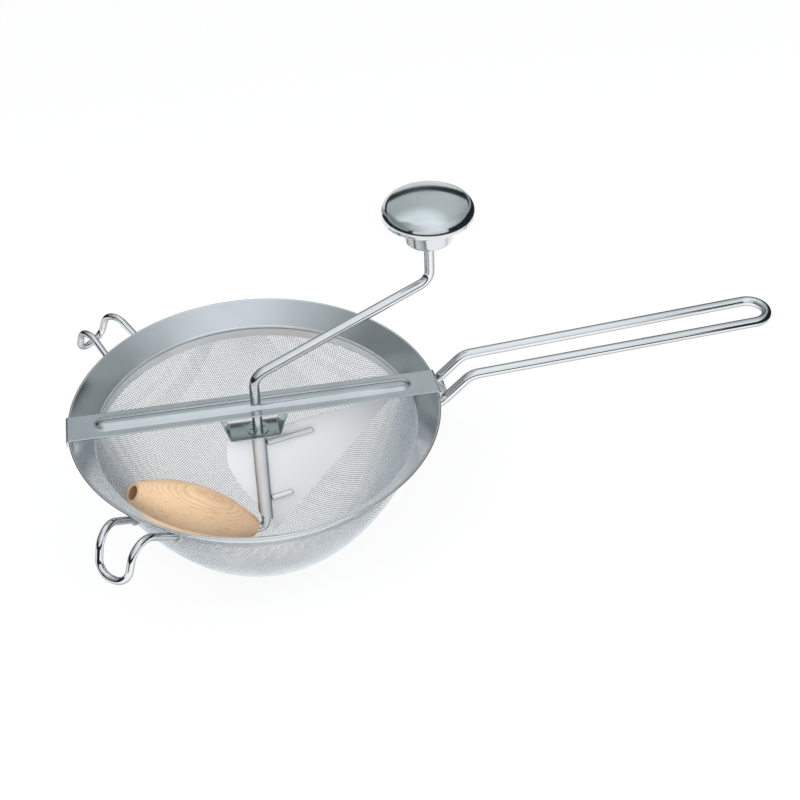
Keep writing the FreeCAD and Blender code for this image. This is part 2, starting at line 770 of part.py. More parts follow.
def make_star_washer():
    """Retaining washer above the bracket's floor, with locking slots round its hole."""
    bottom = -size("bracket_drop") + size("bar_sheet") + 0.1
    body = washer("retaining_washer", size("rod") / 2 + size("snug"), size("star_radius"), bottom,
                  size("star_sheet"))
    doc.recompute()
    slot = new_sketch(body, "slot", "XY_Plane")
    inside = size("rod") / 2 - size("slot_half")
    half = size("slot_half")
    outline(slot, [(inside, -half), (size("slot_reach"), -half), (size("slot_reach"), half), (inside, half)])
    cut = pocket_through(body, slot)
    star = body.newObject("PartDesign::PolarPattern", "retaining_washer_star")
    star.Originals = [cut]
    star.Axis = (slot, ["N_Axis"])
    star.Angle = 360
    bind(star, "Occurrences", size("star_slots"))
    body.Tip = star
    body.Placement = crank_frame
    return body


def make_sleeve():
    """Rolled tube that grips the shaft and carries both wings of the blade, cut at a slant at its foot."""
    high = -size("sleeve_bottom")
    low = high - size("sleeve_slant")
    tube = washer("blade_sleeve", size("rod") / 2 + size("snug"), size("sleeve_radius"), low,
                  -size("sleeve_top") - low)
    slant = new_sketch(tube, "slant")
    reach = size("sleeve_radius") + 1
    outline(slant, [(-reach, high), (-reach, low - 1), (reach, low - 1), (reach, low)])
    pocket_through(tube, slant)
    tube.Placement = crank_frame


def make_scraper():
    """Flat three-cornered wing that sweeps close to the mesh."""
    body = new_body("blade_wing_long")
    wing = new_sketch(body, "outline")
    root_side = size("sleeve_radius") + size("snug")
    tip = size("tip_reach")
    corner = size("blade_reach")
    outline(wing, [(root_side, -size("blade_top")), (root_side, size("scraper_heel") - size("tip_depth")),
                   (tip, -size("tip_depth")),
                   (corner - size("scraper_corner"), -size("blade_top") - size("scraper_cut")),
                   (corner, -size("blade_top"))])
    pad(body, wing, size("blade_sheet"), both_ways=True)
    body.Placement = crank_frame
    return body


def make_lobe():
    """Short wing with a curved edge on the roller's side of the shaft."""
    body = new_body("blade_wing_short")
    wing = new_sketch(body, "outline")
    root_side = -size("sleeve_radius") - size("snug")
    top = -size("blade_top")
    outline(wing, [(root_side, top), (-size("wing_top"), top), (-size("wing_reach"), -size("wing_waist")),
                   (root_side, -size("wing_bottom"))],
            {1: (size("wing_upper_curve"), False), 2: (size("wing_lower_curve"), False)})
    pad(body, wing, size("blade_sheet"), both_ways=True)
    body.Placement = crank_frame
    return body


def make_pin(label, depth, reach):
    """Round stirring pin with a rounded tip, fixed to the face of the blade."""
    start = size("sleeve_radius") + 0.05
    rod = doc.addObject("Part::Cylinder", f"{label}_rod")
    bind(rod, "Radius", size("pin") / 2)
    bind(rod, "Height", reach - start)
    tip = keep(doc.addObject("Part::Fillet", label))
    doc.recompute()
    tip.Base = rod
    edge = next(number for number, item in enumerate(rod.Shape.Edges, start=1)
                if item.BoundBox.ZMin > rod.Height.Value - 0.01)
    tip.Edges = [(edge, value("pin") * 0.42, value("pin") * 0.42)]
    side = (value("blade_sheet") + value("pin")) / 2 + value("snug")
    root = Vector(start.value, -side, -depth.value)
    tip.Placement = crank_frame * Placement(root, Rotation(Vector(0, 1, 0), 90))
    return tip


def make_roller():
    """Barrel-shaped wooden roller that turns on the inclined rod, with a recess for the end nut."""
    bore = size("rod") / 2 + size("running")
    bottom = size("roller_start")
    widest = bottom + size("roller_widest")
    top = bottom + size("roller_length")
    end = size("roller_end")
    swell = size("roller_radius") - end
    lower = size("roller_widest")
    upper = size("roller_length") - lower
    recess = size("recess_radius")
    recess_floor = top - size("recess_depth")
    body = turned_body(
        "roller",
        [(bore, bottom), (end, bottom), (size("roller_radius"), widest), (end, top), (recess, top),
         (recess, recess_floor), (bore, recess_floor)],
        {1: ((lower * lower + swell * swell) / swell / 2, False),
         2: ((upper * upper + swell * swell) / swell / 2, False)},
    )
    body.Placement = foot_frame
    return body


# --------------------------------------------------------------------------------------------------
# knob, in the frame of its own rod
# --------------------------------------------------------------------------------------------------

knob_skin = size("knob_sheet")
knob_edge = size("knob_base")
shoulder = size("knob_shoulder")
shoulder_middle = size("knob_radius") - shoulder
dome = size("dome_radius")
dome_turn = Size(math.degrees(math.asin(shoulder_middle.value / (dome - shoulder).value)),
                 f"asin({shoulder_middle.text} / {(dome - shoulder).text})")
dome_middle = knob_edge + size("knob_band") - (dome - shoulder) * cosine(dome_turn)


def make_knob_shell():
    """Domed cap with a rounded shoulder, an upright edge and a lip rolled in under the cup's flange."""
    radius = size("knob_radius")
    band_top = knob_edge + size("knob_band")
    inner = dome - knob_skin
    lip = radius - size("knob_lip")
    body = turned_body(
        "knob_shell",
        [(radius, knob_edge), (radius, band_top),
         (dome * sine(dome_turn), dome_middle + dome * cosine(dome_turn)),
         (0, dome_middle + dome), (0, dome_middle + inner),
         (inner * sine(dome_turn), dome_middle + inner * cosine(dome_turn)), (radius - knob_skin, band_top),
         (radius - knob_skin, knob_edge + knob_skin), (lip, knob_edge + knob_skin), (lip, knob_edge)],
        {1: (shoulder, False), 2: (dome, False), 4: (inner, True), 5: (shoulder - knob_skin, True)},
    )
    body.Placement = grip_frame
    return body


def make_knob_cup():
    """Cup under the cap: a drum with a holed floor and a flange that the cap's lip holds."""
    drum = size("cup_radius")
    foot = drum - size("cup_draft")
    floor = size("cup_base")
    hole = size("rod") / 2 + size("cup_hole")
    flange_bottom = knob_edge + knob_skin + size("snug")
    flange_top = flange_bottom + knob_skin
    flange_edge = size("knob_radius") - knob_skin - 0.05
    corner = size("cup_corner")
    body = turned_body(
        "knob_cup",
        [(hole, floor), (foot - corner, floor), (foot, floor + corner), (drum, flange_bottom),
         (flange_edge, flange_bottom), (flange_edge, flange_top), (drum - knob_skin, flange_top),
         (foot - knob_skin, floor + corner), (foot - corner, floor + knob_skin), (hole, floor + knob_skin)],
        {1: (corner, False), 7: (corner - knob_skin, True)},
    )
    body.Placement = grip_frame
    return body


def make_knob_bush():
    """Flanged bush inside the cup that turns on the knob's rod."""
    bore = size("rod") / 2 + size("running")
    neck = size("rod") / 2 + 0.75
    floor = size("cup_base")
    bottom = floor + 0.1
    seat = floor + knob_skin + size("snug")
    flange = floor + knob_skin + size("bush_foot")
    top = floor + size("bush_height")
    body = turned_body("knob_bush", [
        (bore, bottom), (neck, bottom), (neck, seat), (size("bush_flange"), seat),
        (size("bush_flange"), flange), (size("bush_radius"), flange), (size("bush_radius"), top), (bore, top),
    ])
    body.Placement = grip_frame
    return body


# --------------------------------------------------------------------------------------------------
# assembly
# --------------------------------------------------------------------------------------------------

make_collar()
make_band()
make_mesh()
make_crossbar()
make_bracket()
make_handle()
make_welds("handle_welds", wire_ends(handle_side(), Rotation()), size("handle_weld"))
make_hook("rest_hook_front", 1)
make_hook("rest_hook_back", -1)
make_welds("hook_welds", wire_ends(hook_side(), hook_turn(1)) + wire_ends(hook_side(), hook_turn(-1)),
           size("hook_weld"))
make_crank_rod()
make_star_washer()
make_sleeve()
make_scraper()
make_lobe()
make_pin("stir_pin_upper", size("upper_pin_depth"), size("upper_pin_reach"))
make_pin("stir_pin_lower", size("lower_pin_depth"), size("lower_pin_reach"))
make_roller()
rod_fit = size("rod") / 2 + size("snug")
rod_ring("roller_foot_washer", foot_frame, rod_fit, size("foot_washer_radius"),
         size("roller_start") - size("foot_washer_sheet") * 1.5, size("foot_washer_sheet"))
rod_ring("roller_end_nut", foot_frame, rod_fit, size("end_nut_radius"),
         size("roller_start") + size("roller_length") - size("recess_depth") + size("snug") * 10,
         size("end_nut_length"))
make_knob_shell()
make_knob_cup()
make_knob_bush()
rod_ring("knob_push_nut", grip_frame, rod_fit, size("push_nut_radius"),
         size("cup_base") + size("bush_height") + size("snug") * 10, size("push_nut_sheet"))
doc.recompute()

for thing in doc.Objects:
    if "Invalid" in thing.State or "Error" in thing.State:
        raise RuntimeError(f"{thing.Label} is {thing.State}")
    if thing.TypeId == "Sketcher::SketchObject" and thing.solve() != 0:
        raise RuntimeError(f"{thing.Label} doesn't solve")
for part in PARTS:
    if part.Shape.isNull() or not part.Shape.isValid():
        raise RuntimeError(f"{part.Label} has no valid shape")

os.makedirs("parts", exist_ok=True)
for part in PARTS:
    part.Shape.exportStep(f"parts/{part.Label}.step")
    box = part.Shape.BoundBox
    print(f"{part.Label:20s} {len(part.Shape.Solids)} solid(s), volume {part.Shape.Volume:9.1f}, "
          f"x {box.XMin:7.1f} {box.XMax:7.1f}, y {box.YMin:7.1f} {box.YMax:7.1f}, "
          f"z {box.ZMin:7.1f} {box.ZMax:7.1f}")
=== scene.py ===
"""Looks of a hand-cranked tomato strainer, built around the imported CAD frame.

Sizes inside the classes are in millimetres and angles in degrees; meshes are made in metres.
"""

import json
import logging
import math
from dataclasses import dataclass
from enum import Enum
from typing import Callable, Iterable, Sequence

import bmesh
import bpy
from mathutils import Matrix, Vector


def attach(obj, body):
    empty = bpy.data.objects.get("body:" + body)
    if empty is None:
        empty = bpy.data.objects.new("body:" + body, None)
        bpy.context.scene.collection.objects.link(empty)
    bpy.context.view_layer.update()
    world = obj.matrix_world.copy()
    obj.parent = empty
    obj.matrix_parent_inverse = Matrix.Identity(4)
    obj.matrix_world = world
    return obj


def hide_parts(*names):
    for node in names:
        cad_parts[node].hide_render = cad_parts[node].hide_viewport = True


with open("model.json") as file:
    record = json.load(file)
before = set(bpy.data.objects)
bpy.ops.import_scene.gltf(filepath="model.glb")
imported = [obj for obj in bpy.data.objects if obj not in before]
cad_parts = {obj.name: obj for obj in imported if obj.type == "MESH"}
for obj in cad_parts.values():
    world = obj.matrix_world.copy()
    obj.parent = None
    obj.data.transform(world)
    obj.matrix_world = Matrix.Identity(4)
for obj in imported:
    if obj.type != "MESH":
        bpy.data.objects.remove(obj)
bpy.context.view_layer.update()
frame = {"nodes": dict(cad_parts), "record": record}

MM = 0.001
WELD_MM = 0.0005
STRIP_EDGE_MM = 0.12
HOLE_FLATS = 48
GRIP = next(joint for joint in frame["record"]["behaviour"]["joints"] if joint["name"] == "knob_spin")
Point = tuple[float, float]
Place = tuple[float, float, float]
Colour = tuple[float, float, float, float]
Socket = bpy.types.NodeSocket

# The part of its range that a noise mostly takes.
NOISE_ENDS: Point = (0.3, 0.7)

log = logging.getLogger("strainer")


# ---------------------------------------------------------------------------------------------
# node trees
# ---------------------------------------------------------------------------------------------

class Sheet:
    """A node tree under construction, with short calls for the nodes that recur."""

    def __init__(self, tree: bpy.types.NodeTree) -> None:
        """Wrap a tree.

        Args:
            tree: the material, world or geometry tree to add nodes to.
        """
        self.tree = tree
        self.tree.nodes.clear()

    def add(self, kind: str, sockets: dict | None = None, **settings: object) -> bpy.types.Node:
        """Add one node.

        Args:
            kind: the node's type.
            sockets: values or outputs for its inputs, by name or number.
            settings: the node's own properties.

        Returns:
            The new node.
        """
        node = self.tree.nodes.new(kind)
        for name, setting in settings.items():
            setattr(node, name, setting)
        for name, item in (sockets or {}).items():
            self.feed(node.inputs[name], item)
        return node

    def feed(self, socket: Socket, item: object) -> None:
        """Link an output to a socket, or set the socket's own value.

        Args:
            socket: the input to fill.
            item: another node's output, or a plain value.
        """
        if isinstance(item, Socket):
            self.tree.links.new(item, socket)
        else:
            socket.default_value = item

    def end(self, kind: str, result: Socket) -> None:
        """Lead a result to the tree's output node."""
        self.feed(self.add(kind).inputs[0], result)

    def coordinate(self, kind: str) -> Socket:
        """Return one of a piece's texture coordinates, such as Object for its position in metres."""
        return self.add("ShaderNodeTexCoord").outputs[kind]

    def math(self, operation: str, *numbers: object) -> Socket:
        """Add a Math node and return its result."""
        return self.add("ShaderNodeMath", dict(enumerate(numbers)), operation=operation).outputs[0]

    def vector(self, operation: str, *vectors: object, output: str = "Vector") -> Socket:
        """Add a Vector Math node.

        Args:
            operation: what the node does.
            vectors: its inputs in order; the second one of SCALE is the factor.
            output: name of the result to return.

        Returns:
            The chosen result.
        """
        node = self.add("ShaderNodeVectorMath", operation=operation)
        for index, item in enumerate(vectors):
            socket = node.inputs["Scale"] if operation == "SCALE" and index == 1 else node.inputs[index]
            self.feed(socket, item)
        return node.outputs[output]

    def join(self, x: object, y: object, z: object) -> Socket:
        """Join three numbers into a vector."""
        return self.add("ShaderNodeCombineXYZ", {0: x, 1: y, 2: z}).outputs[0]

    def split(self, vector: Socket) -> Sequence[Socket]:
        """Return a vector's three numbers."""
        return self.add("ShaderNodeSeparateXYZ", {0: vector}).outputs

    def spread(self, amount: object, low: float, high: float, to_low: float, to_high: float,
               smooth: bool = False) -> Socket:
        """Map one range of a number to another.

        Args:
            amount: the number's output.
            low: start of its range.
            high: end of its range.
            to_low: result at the start.
            to_high: result at the end.
            smooth: eases both ends.

        Returns:
            The mapped number's output.
        """
        kind = "SMOOTHSTEP" if smooth else "LINEAR"
        return self.add("ShaderNodeMapRange", {0: amount, 1: low, 2: high, 3: to_low, 4: to_high},
                        interpolation_type=kind).outputs[0]

    def noise(self, where: object, scale: float, detail: float = 2.0,
              roughness: float = 0.5) -> Socket:
        """Add a noise texture and return its height."""
        return self.add("ShaderNodeTexNoise", {"Vector": where, "Scale": scale, "Detail": detail,
                                               "Roughness": roughness}).outputs[0]

    def blend(self, amount: object, first: object, second: object) -> Socket:
        """Blend two colours.

        Args:
            amount: 0 for the first colour, 1 for the second.
            first: the colour at 0.
            second: the colour at 1.

        Returns:
            The blended colour.
        """
        node = self.add("ShaderNodeMix", {0: amount}, data_type="RGBA")
        self.feed(node.inputs[6], first)
        self.feed(node.inputs[7], second)
        return node.outputs[2]

    def store(self, geometry: Socket, name: str, value: Socket) -> Socket:
        """Store a number on each point of a geometry.

        Args:
            geometry: the geometry.
            name: the number's name.
            value: the number.

        Returns:
            The geometry with the number.
        """
        node = self.add("GeometryNodeStoreNamedAttribute", {"Geometry": geometry, "Name": name,
                                                            "Value": value}, data_type="FLOAT")
        return node.outputs[0]

    def stored(self, name: str) -> Socket:
        """Return the number stored on each point under a name."""
        return self.add("GeometryNodeInputNamedAttribute", {"Name": name}, data_type="FLOAT").outputs[0]


def blank_material(name: str) -> tuple[Sheet, bpy.types.Material]:
    """Make an empty material.

    Args:
        name: its name.

    Returns:
        Its node tree, ready for nodes, and the material.
    """
    material = bpy.data.materials.new(name)
    material.use_nodes = True
    return Sheet(material.node_tree), material


# ---------------------------------------------------------------------------------------------
# finishes
# ---------------------------------------------------------------------------------------------

class Grain(Enum):
    """Direction of the fine lines that the polishing leaves in a metal."""

    SPUN = "circles round an axis"
    DRAWN = "lines along an axis"
    EVEN = "no direction"


def colour(red: float, green: float, blue: float) -> Colour:
    """Return an opaque colour."""
    return red, green, blue, 1.0


WHITE = colour(1.0, 1.0, 1.0)
# Painted shade: SHADE darkens metal edges and woven wires under their crossings, CREASE_SHADE a fold line.
SHADE = colour(0.03, 0.035, 0.04)
CREASE_SHADE = colour(0.05, 0.06, 0.065)


@dataclass(frozen=True)
class Metal:
    """A polished or satin metal with fine grain, slight smudges and a little colour variation.

    Edge is how much the colour is painted darker where the surface turns away from the eye, a painted
    shade that stands for the dark reflections along a metal's outline, and valley_shade how much painted
    shade a woven wire gets where the wire that crosses it covers it. crease_shade_height is the height in
    mm of a painted dark line of shade along a fold. Each of them is left out at 0, and its ends are where
    it starts and where it is complete, for the fold line in mm from its middle.
    """

    name: str
    bright: Colour
    dull: Colour
    roughness: float
    smudge: float = 0.05
    grain: Grain = Grain.EVEN
    axis: Place = (0.0, 0.0, 1.0)
    centre: Place = (0.0, 0.0, 0.0)
    lines_per_mm: float = 2.5
    line_stretch: float = 60.0
    line_mm: float = 0.02
    spun_drift: float = 3.0
    depth: float = 0.05
    smears_per_metre: float = 38.0
    smear_ends: Point = (0.35, 0.65)
    anisotropy: float = 0.0
    anisotropy_turn: float = 0.25
    metallic: float = 1.0
    # Painted shade: at the edges, under crossing wires and along a fold.
    edge: float = 0.0
    edge_shade_ends: Point = (0.2, 0.75)
    valley_shade: float = 0.0
    valley_shade_ends: Point = (-0.45, 0.3)
    crease_shade_height: float = 0.0
    crease_shade_ends: Point = (0.15, 0.6)
    crease_shade_share: float = 0.7

    def grain_place(self, sheet: Sheet, place: Socket) -> Socket:
        """Return the position stretched so that a noise on it runs along the grain.

        Args:
            sheet: the material's nodes.
            place: the position on the piece.

        Returns:
            The stretched position, in lines.
        """
        fine = self.lines_per_mm / MM
        coarse = fine / self.line_stretch
        if self.grain is Grain.EVEN:
            return sheet.vector("SCALE", place, fine)
        away = sheet.vector("SUBTRACT", place, self.centre)
        along = sheet.vector("DOT_PRODUCT", away, self.axis, output="Value")
        if self.grain is Grain.SPUN:
            flat = sheet.vector("SUBTRACT", away, sheet.vector("SCALE", self.axis, along))
            radius = sheet.vector("LENGTH", flat, output="Value")
            turned = sheet.vector("SCALE", sheet.vector("NORMALIZE", flat), self.spun_drift)
            across = sheet.join(sheet.math("MULTIPLY", radius, fine),
                                sheet.math("MULTIPLY", along, fine), 0.0)
            return sheet.vector("ADD", turned, across)
        squeezed = sheet.vector("SCALE", sheet.vector("SCALE", self.axis, along), coarse)
        rest = sheet.vector("SUBTRACT", away, sheet.vector("SCALE", self.axis, along))
        return sheet.vector("ADD", squeezed, sheet.vector("SCALE", rest, fine))

    def valley_shade_amount(self, sheet: Sheet, place: Socket) -> Socket:
        """Return how much painted shade a woven wire gets where the one that crosses it covers it.

        Args:
            sheet: the material's nodes.
            place: the position on the wire.

        Returns:
            A number from 0 to the finish's valley_shade.
        """
        outward = sheet.vector("NORMALIZE", sheet.vector("SUBTRACT", place, self.centre))
        normal = sheet.coordinate("Normal")
        turned_out = sheet.vector("DOT_PRODUCT", outward, normal, output="Value")
        side = sheet.add("ShaderNodeAttribute", attribute_name="side").outputs["Fac"]
        return sheet.spread(sheet.math("MULTIPLY", side, turned_out), *self.valley_shade_ends, self.valley_shade, 0.0,
                            smooth=True)

    def shaded(self, sheet: Sheet, place: Socket, tone: Socket) -> Socket:
        """Paint shade into a colour at the finish's edges, where a woven wire runs under another and along a
        fold.

        Args:
            sheet: the material's nodes.
            place: the position on the piece.
            tone: the plain colour.

        Returns:
            The darkened colour.
        """
        # Painted shade: the colour darkens where the surface turns away from the eye, for the dark
        # reflections along the outline.
        if self.edge:
            facing = sheet.add("ShaderNodeLayerWeight", {"Blend": 0.5}).outputs["Facing"]
            turned = sheet.spread(facing, *self.edge_shade_ends, 0.0, self.edge, smooth=True)
            tone = sheet.blend(turned, tone, SHADE)
        # Painted shade where a woven wire runs under the wire that crosses it.
        if self.valley_shade:
            tone = sheet.blend(self.valley_shade_amount(sheet, place), tone, SHADE)
        # Painted shade: a dark line along the fold at the given height.
        if self.crease_shade_height:
            inner, outer = self.crease_shade_ends
            off = sheet.math("ABSOLUTE", sheet.math("SUBTRACT", sheet.split(place)[2], self.crease_shade_height * MM))
            line = sheet.spread(off, inner * MM, outer * MM, self.crease_shade_share, 0.0, smooth=True)
            tone = sheet.blend(line, tone, CREASE_SHADE)
        return tone

    def make(self) -> bpy.types.Material:
        """Build the material.

        Returns:
            The finished material.
        """
        sheet, material = blank_material(self.name)
        place = sheet.coordinate("Object")
        lines = sheet.noise(self.grain_place(sheet, place), 1.0, detail=3.0, roughness=0.6)
        smears = sheet.noise(place, self.smears_per_metre, detail=3.0, roughness=0.55)
        smoothest, roughest = self.roughness - self.smudge, self.roughness + self.smudge
        rough = sheet.math("ADD", sheet.spread(smears, *NOISE_ENDS, smoothest, roughest),
                           sheet.spread(lines, *NOISE_ENDS, -self.smudge / 2, self.smudge / 2))
        smeared = sheet.spread(smears, *self.smear_ends, 0.0, 1.0, smooth=True)
        plain = sheet.blend(smeared, self.bright, self.dull)
        bump = sheet.add("ShaderNodeBump", {"Strength": self.depth, "Distance": self.line_mm * MM,
                                            "Height": lines})
        shader = sheet.add("ShaderNodeBsdfPrincipled", {
            "Base Color": self.shaded(sheet, place, plain), "Metallic": self.metallic, "Roughness": rough,
            "Normal": bump.outputs[0], "Anisotropic": self.anisotropy,
            "Anisotropic Rotation": self.anisotropy_turn})
        if self.anisotropy and self.grain is Grain.SPUN:
            away = sheet.vector("SUBTRACT", place, self.centre)
            sheet.feed(shader.inputs["Tangent"], sheet.vector("CROSS_PRODUCT", self.axis, away))
        sheet.end("ShaderNodeOutputMaterial", shader.outputs[0])
        return material


@dataclass(frozen=True)
class Beech:
    """Pale beech whose yearly rings are circles round the tree's heart, cut by the turned surface.

    Along is the way of the grain. The bore starts at bore_start and runs along bore_way. The ends are
    the parts of a noise's range over which the clouds and the pores come in.
    """

    name: str
    early: Colour
    late: Colour
    fleck: Colour
    heart: Place
    along: Place
    ring_mm: float
    bore_start: Place
    bore_way: Place
    bore_mm: float
    bore_rim_mm: float = 0.3
    wander_mm: float = 0.9
    wanders_per_metre: float = 45.0
    ring_share: float = 0.9
    clouds_per_metre: float = 60.0
    cloud_ends: Point = (0.35, 0.75)
    cloud_share: float = 0.35
    pores_along: float = 90.0
    pores_across: float = 1500.0
    pore_ends: Point = (0.58, 0.72)
    pore_share: float = 0.7
    pore_mm: float = 0.05
    pore_depth: float = 0.12
    roughness: Point = (0.48, 0.62)
    shine: float = 0.35

    def rings(self, sheet: Sheet, place: Socket, flat: Socket) -> Socket:
        """Return how late in the year the wood at a place grew.

        Args:
            sheet: the material's nodes.
            place: the position on the piece.
            flat: the way from the heart to the place, square to the grain.

        Returns:
            A number that rises from 0 to 1 in each ring, steeply at its end.
        """
        drift = sheet.spread(sheet.noise(place, self.wanders_per_metre, detail=3.0), 0.0, 1.0, -1.0, 1.0)
        wander = sheet.math("MULTIPLY", drift, self.wander_mm * MM)
        radius = sheet.math("ADD", sheet.vector("LENGTH", flat, output="Value"), wander)
        rings = sheet.math("FRACT", sheet.math("DIVIDE", radius, self.ring_mm * MM))
        return sheet.math("POWER", rings, 3.0)

    def bored(self, sheet: Sheet, place: Socket) -> Socket:
        """Return 1 inside the bore and 0 outside it.

        Args:
            sheet: the material's nodes.
            place: the position on the piece.

        Returns:
            A number from 0 to 1.
        """
        inside = sheet.vector("SUBTRACT", place, self.bore_start)
        across = sheet.vector("CROSS_PRODUCT", inside, self.bore_way)
        return sheet.spread(sheet.vector("LENGTH", across, output="Value"),
                            self.bore_mm * MM, (self.bore_mm + self.bore_rim_mm) * MM, 1.0, 0.0)

    def make(self) -> bpy.types.Material:
        """Build the material.

        Returns:
            The finished material.
        """
        sheet, material = blank_material(self.name)
        place = sheet.coordinate("Object")
        away = sheet.vector("SUBTRACT", place, self.heart)
        length = sheet.vector("DOT_PRODUCT", away, self.along, output="Value")
        flat = sheet.vector("SUBTRACT", away, sheet.vector("SCALE", self.along, length))
        narrow = sheet.vector(
            "ADD", sheet.vector("SCALE", sheet.vector("SCALE", self.along, length), self.pores_along),
            sheet.vector("SCALE", flat, self.pores_across))
        pores = sheet.noise(narrow, 1.0, roughness=0.6)
        clouds = sheet.noise(place, self.clouds_per_metre)
        late = sheet.math("MULTIPLY", self.rings(sheet, place, flat), self.ring_share)
        ringed = sheet.blend(late, self.early, self.late)
        cloudy = sheet.spread(clouds, *self.cloud_ends, 0.0, self.cloud_share)
        clouded = sheet.blend(cloudy, ringed, self.late)
        porous = sheet.spread(pores, *self.pore_ends, 0.0, self.pore_share)
        flecked = sheet.blend(porous, clouded, self.fleck)
        bump = sheet.add("ShaderNodeBump", {"Strength": self.pore_depth, "Distance": self.pore_mm * MM,
                                            "Height": pores})
        shader = sheet.add("ShaderNodeBsdfPrincipled", {
            "Base Color": sheet.blend(self.bored(sheet, place), flecked, self.fleck),
            "Roughness": sheet.spread(pores, *NOISE_ENDS, *self.roughness),
            "Normal": bump.outputs[0], "Specular IOR Level": self.shine})
        sheet.end("ShaderNodeOutputMaterial", shader.outputs[0])
        return material


SATIN = Metal("satin_flange", colour(0.72, 0.745, 0.77), colour(0.68, 0.71, 0.735), 0.13,
              smudge=0.03, grain=Grain.SPUN)
# The polished wall gets a painted dark line of shade along its fold.
POLISHED = Metal("polished_wall", colour(0.93, 0.95, 0.965), colour(0.88, 0.90, 0.92), 0.33,
                 smudge=0.02, grain=Grain.SPUN, anisotropy=0.85, depth=0.02, metallic=0.82, crease_shade_height=-12.7)
STRAP = Metal("strap_steel", colour(0.72, 0.75, 0.77), colour(0.68, 0.71, 0.73), 0.18,
              grain=Grain.DRAWN, axis=(1.0, 0.0, 0.0), depth=0.12)
BEARING = Metal("bearing_steel", colour(0.56, 0.60, 0.60), colour(0.50, 0.54, 0.545), 0.16,
                grain=Grain.DRAWN, axis=(1.0, 0.0, 0.0))
# The polished wire gets painted shade along its outline.
WIRE = Metal("wire_steel", colour(0.90, 0.91, 0.92), colour(0.84, 0.855, 0.87), 0.07,
             smudge=0.03, depth=0.02, edge=0.75)
# The woven wire gets painted shade under its crossings.
CLOTH = Metal("cloth_wire", colour(0.925, 0.97, 1.0), colour(0.875, 0.93, 0.985), 0.16,
              centre=(0.0, 0.0, -0.0205), metallic=0.84, valley_shade=0.62)
BLADE = Metal("blade_satin", colour(0.99, 0.995, 1.0), colour(0.97, 0.98, 0.995), 0.42,
              grain=Grain.DRAWN, axis=(0.98, 0.2, 0.0), depth=0.08, metallic=0.1)
# The sleeve gets painted shade along its outline.
SLEEVE = Metal("sleeve_steel", colour(0.93, 0.945, 0.965), colour(0.88, 0.895, 0.915), 0.4,
               smudge=0.03, grain=Grain.DRAWN, depth=0.02, metallic=0.6, edge=0.85)
KNOB = Metal("knob_steel", colour(0.80, 0.83, 0.84), colour(0.75, 0.78, 0.79), 0.12,
             smudge=0.03, grain=Grain.SPUN, axis=tuple(GRIP["axis"]), centre=tuple(GRIP["pos_m"]),
             anisotropy=0.5)
WELD = Metal("weld_steel", colour(0.76, 0.77, 0.78), colour(0.64, 0.645, 0.65), 0.34,
             lines_per_mm=0.8, depth=0.3, metallic=0.4)
BRASS = Metal("turned_brass", colour(0.83, 0.66, 0.34), colour(0.74, 0.56, 0.28), 0.22)
DARK = Metal("dark_steel", colour(0.20, 0.19, 0.18), colour(0.14, 0.135, 0.13), 0.4)
BEECH = Beech("beech", colour(0.89, 0.635, 0.41), colour(0.72, 0.455, 0.26), colour(0.52, 0.30, 0.155),
              heart=(-0.0469, 0.0056, -0.151), along=(-0.747, -0.1623, 0.6449), ring_mm=0.95,
              bore_start=(0.0, 0.0, -0.0962), bore_way=(-0.758, -0.161, 0.632), bore_mm=4.0)


# ---------------------------------------------------------------------------------------------
# shapes
# ---------------------------------------------------------------------------------------------

def rounded(points: Sequence[Point], radii: dict[int, float], step: float = 9.0) -> list[Point]:
    """Round the corners of an outline.

    Args:
        points: the outline's corners.
        radii: the rounding of each corner, by its number; the others stay sharp.
        step: the largest turn between two points of a rounding, in degrees.

    Returns:
        The outline with arcs in place of its rounded corners.
    """
    made: list[Point] = []
    for index, corner in enumerate(points):
        if index not in radii:
            made.append(corner)
            continue
        here = Vector(corner)
        before = (Vector(points[index - 1]) - here).normalized()
        after = (Vector(points[(index + 1) % len(points)]) - here).normalized()
        opening = before.angle(after)
        reach = radii[index] / math.tan(opening / 2)
        middle = here + (before + after).normalized() * (radii[index] / math.sin(opening / 2))
        first = here + before * reach - middle
        turn = first.angle_signed(here + after * reach - middle)
        count = max(2, math.ceil(math.degrees(abs(turn)) / step))
        for number in range(count + 1):
            spoke = first.copy()
            spoke.rotate(Matrix.Rotation(-turn * number / count, 2))
            made.append(tuple(middle + spoke))
    return made


def placed(name: str, data: bpy.types.ID) -> bpy.types.Object:
    """Put a mesh, a curve, a light or a camera in the scene.

    Args:
        name: the object's name.
        data: what it shows.

    Returns:
        The new object.
    """
    thing = bpy.data.objects.new(name, data)
    bpy.context.scene.collection.objects.link(thing)
    return thing


def piece(name: str, mesh: bpy.types.Mesh, material: bpy.types.Material, body: str,
          stands_for: Iterable[str] = ()) -> bpy.types.Object:
    """Put a finished mesh in the scene as a piece of the object.

    Args:
        name: the piece's name.
        mesh: its mesh, in place.
        material: its finish.
        body: the CAD body that it moves with.
        stands_for: the CAD nodes that it replaces.

    Returns:
        The new object.
    """
    thing = placed(name, mesh)
    if not mesh.materials:
        mesh.materials.append(material)
    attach(thing, body)
    for node in stands_for:
        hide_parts(node)
    log.info("%s: %d faces on %s", name, len(mesh.polygons), body)
    return thing


def finish_mesh(mesh: bpy.types.Mesh, sharp_angle: float = 32.0) -> bpy.types.Mesh:
    """Shade a mesh smooth, apart from its sharp edges.

    Args:
        mesh: the mesh to shade.
        sharp_angle: the turn, in degrees, past which an edge stays sharp.

    Returns:
        The same mesh.
    """
    mesh.shade_smooth()
    mesh.set_sharp_from_angle(angle=math.radians(sharp_angle))
    mesh.update()
    return mesh


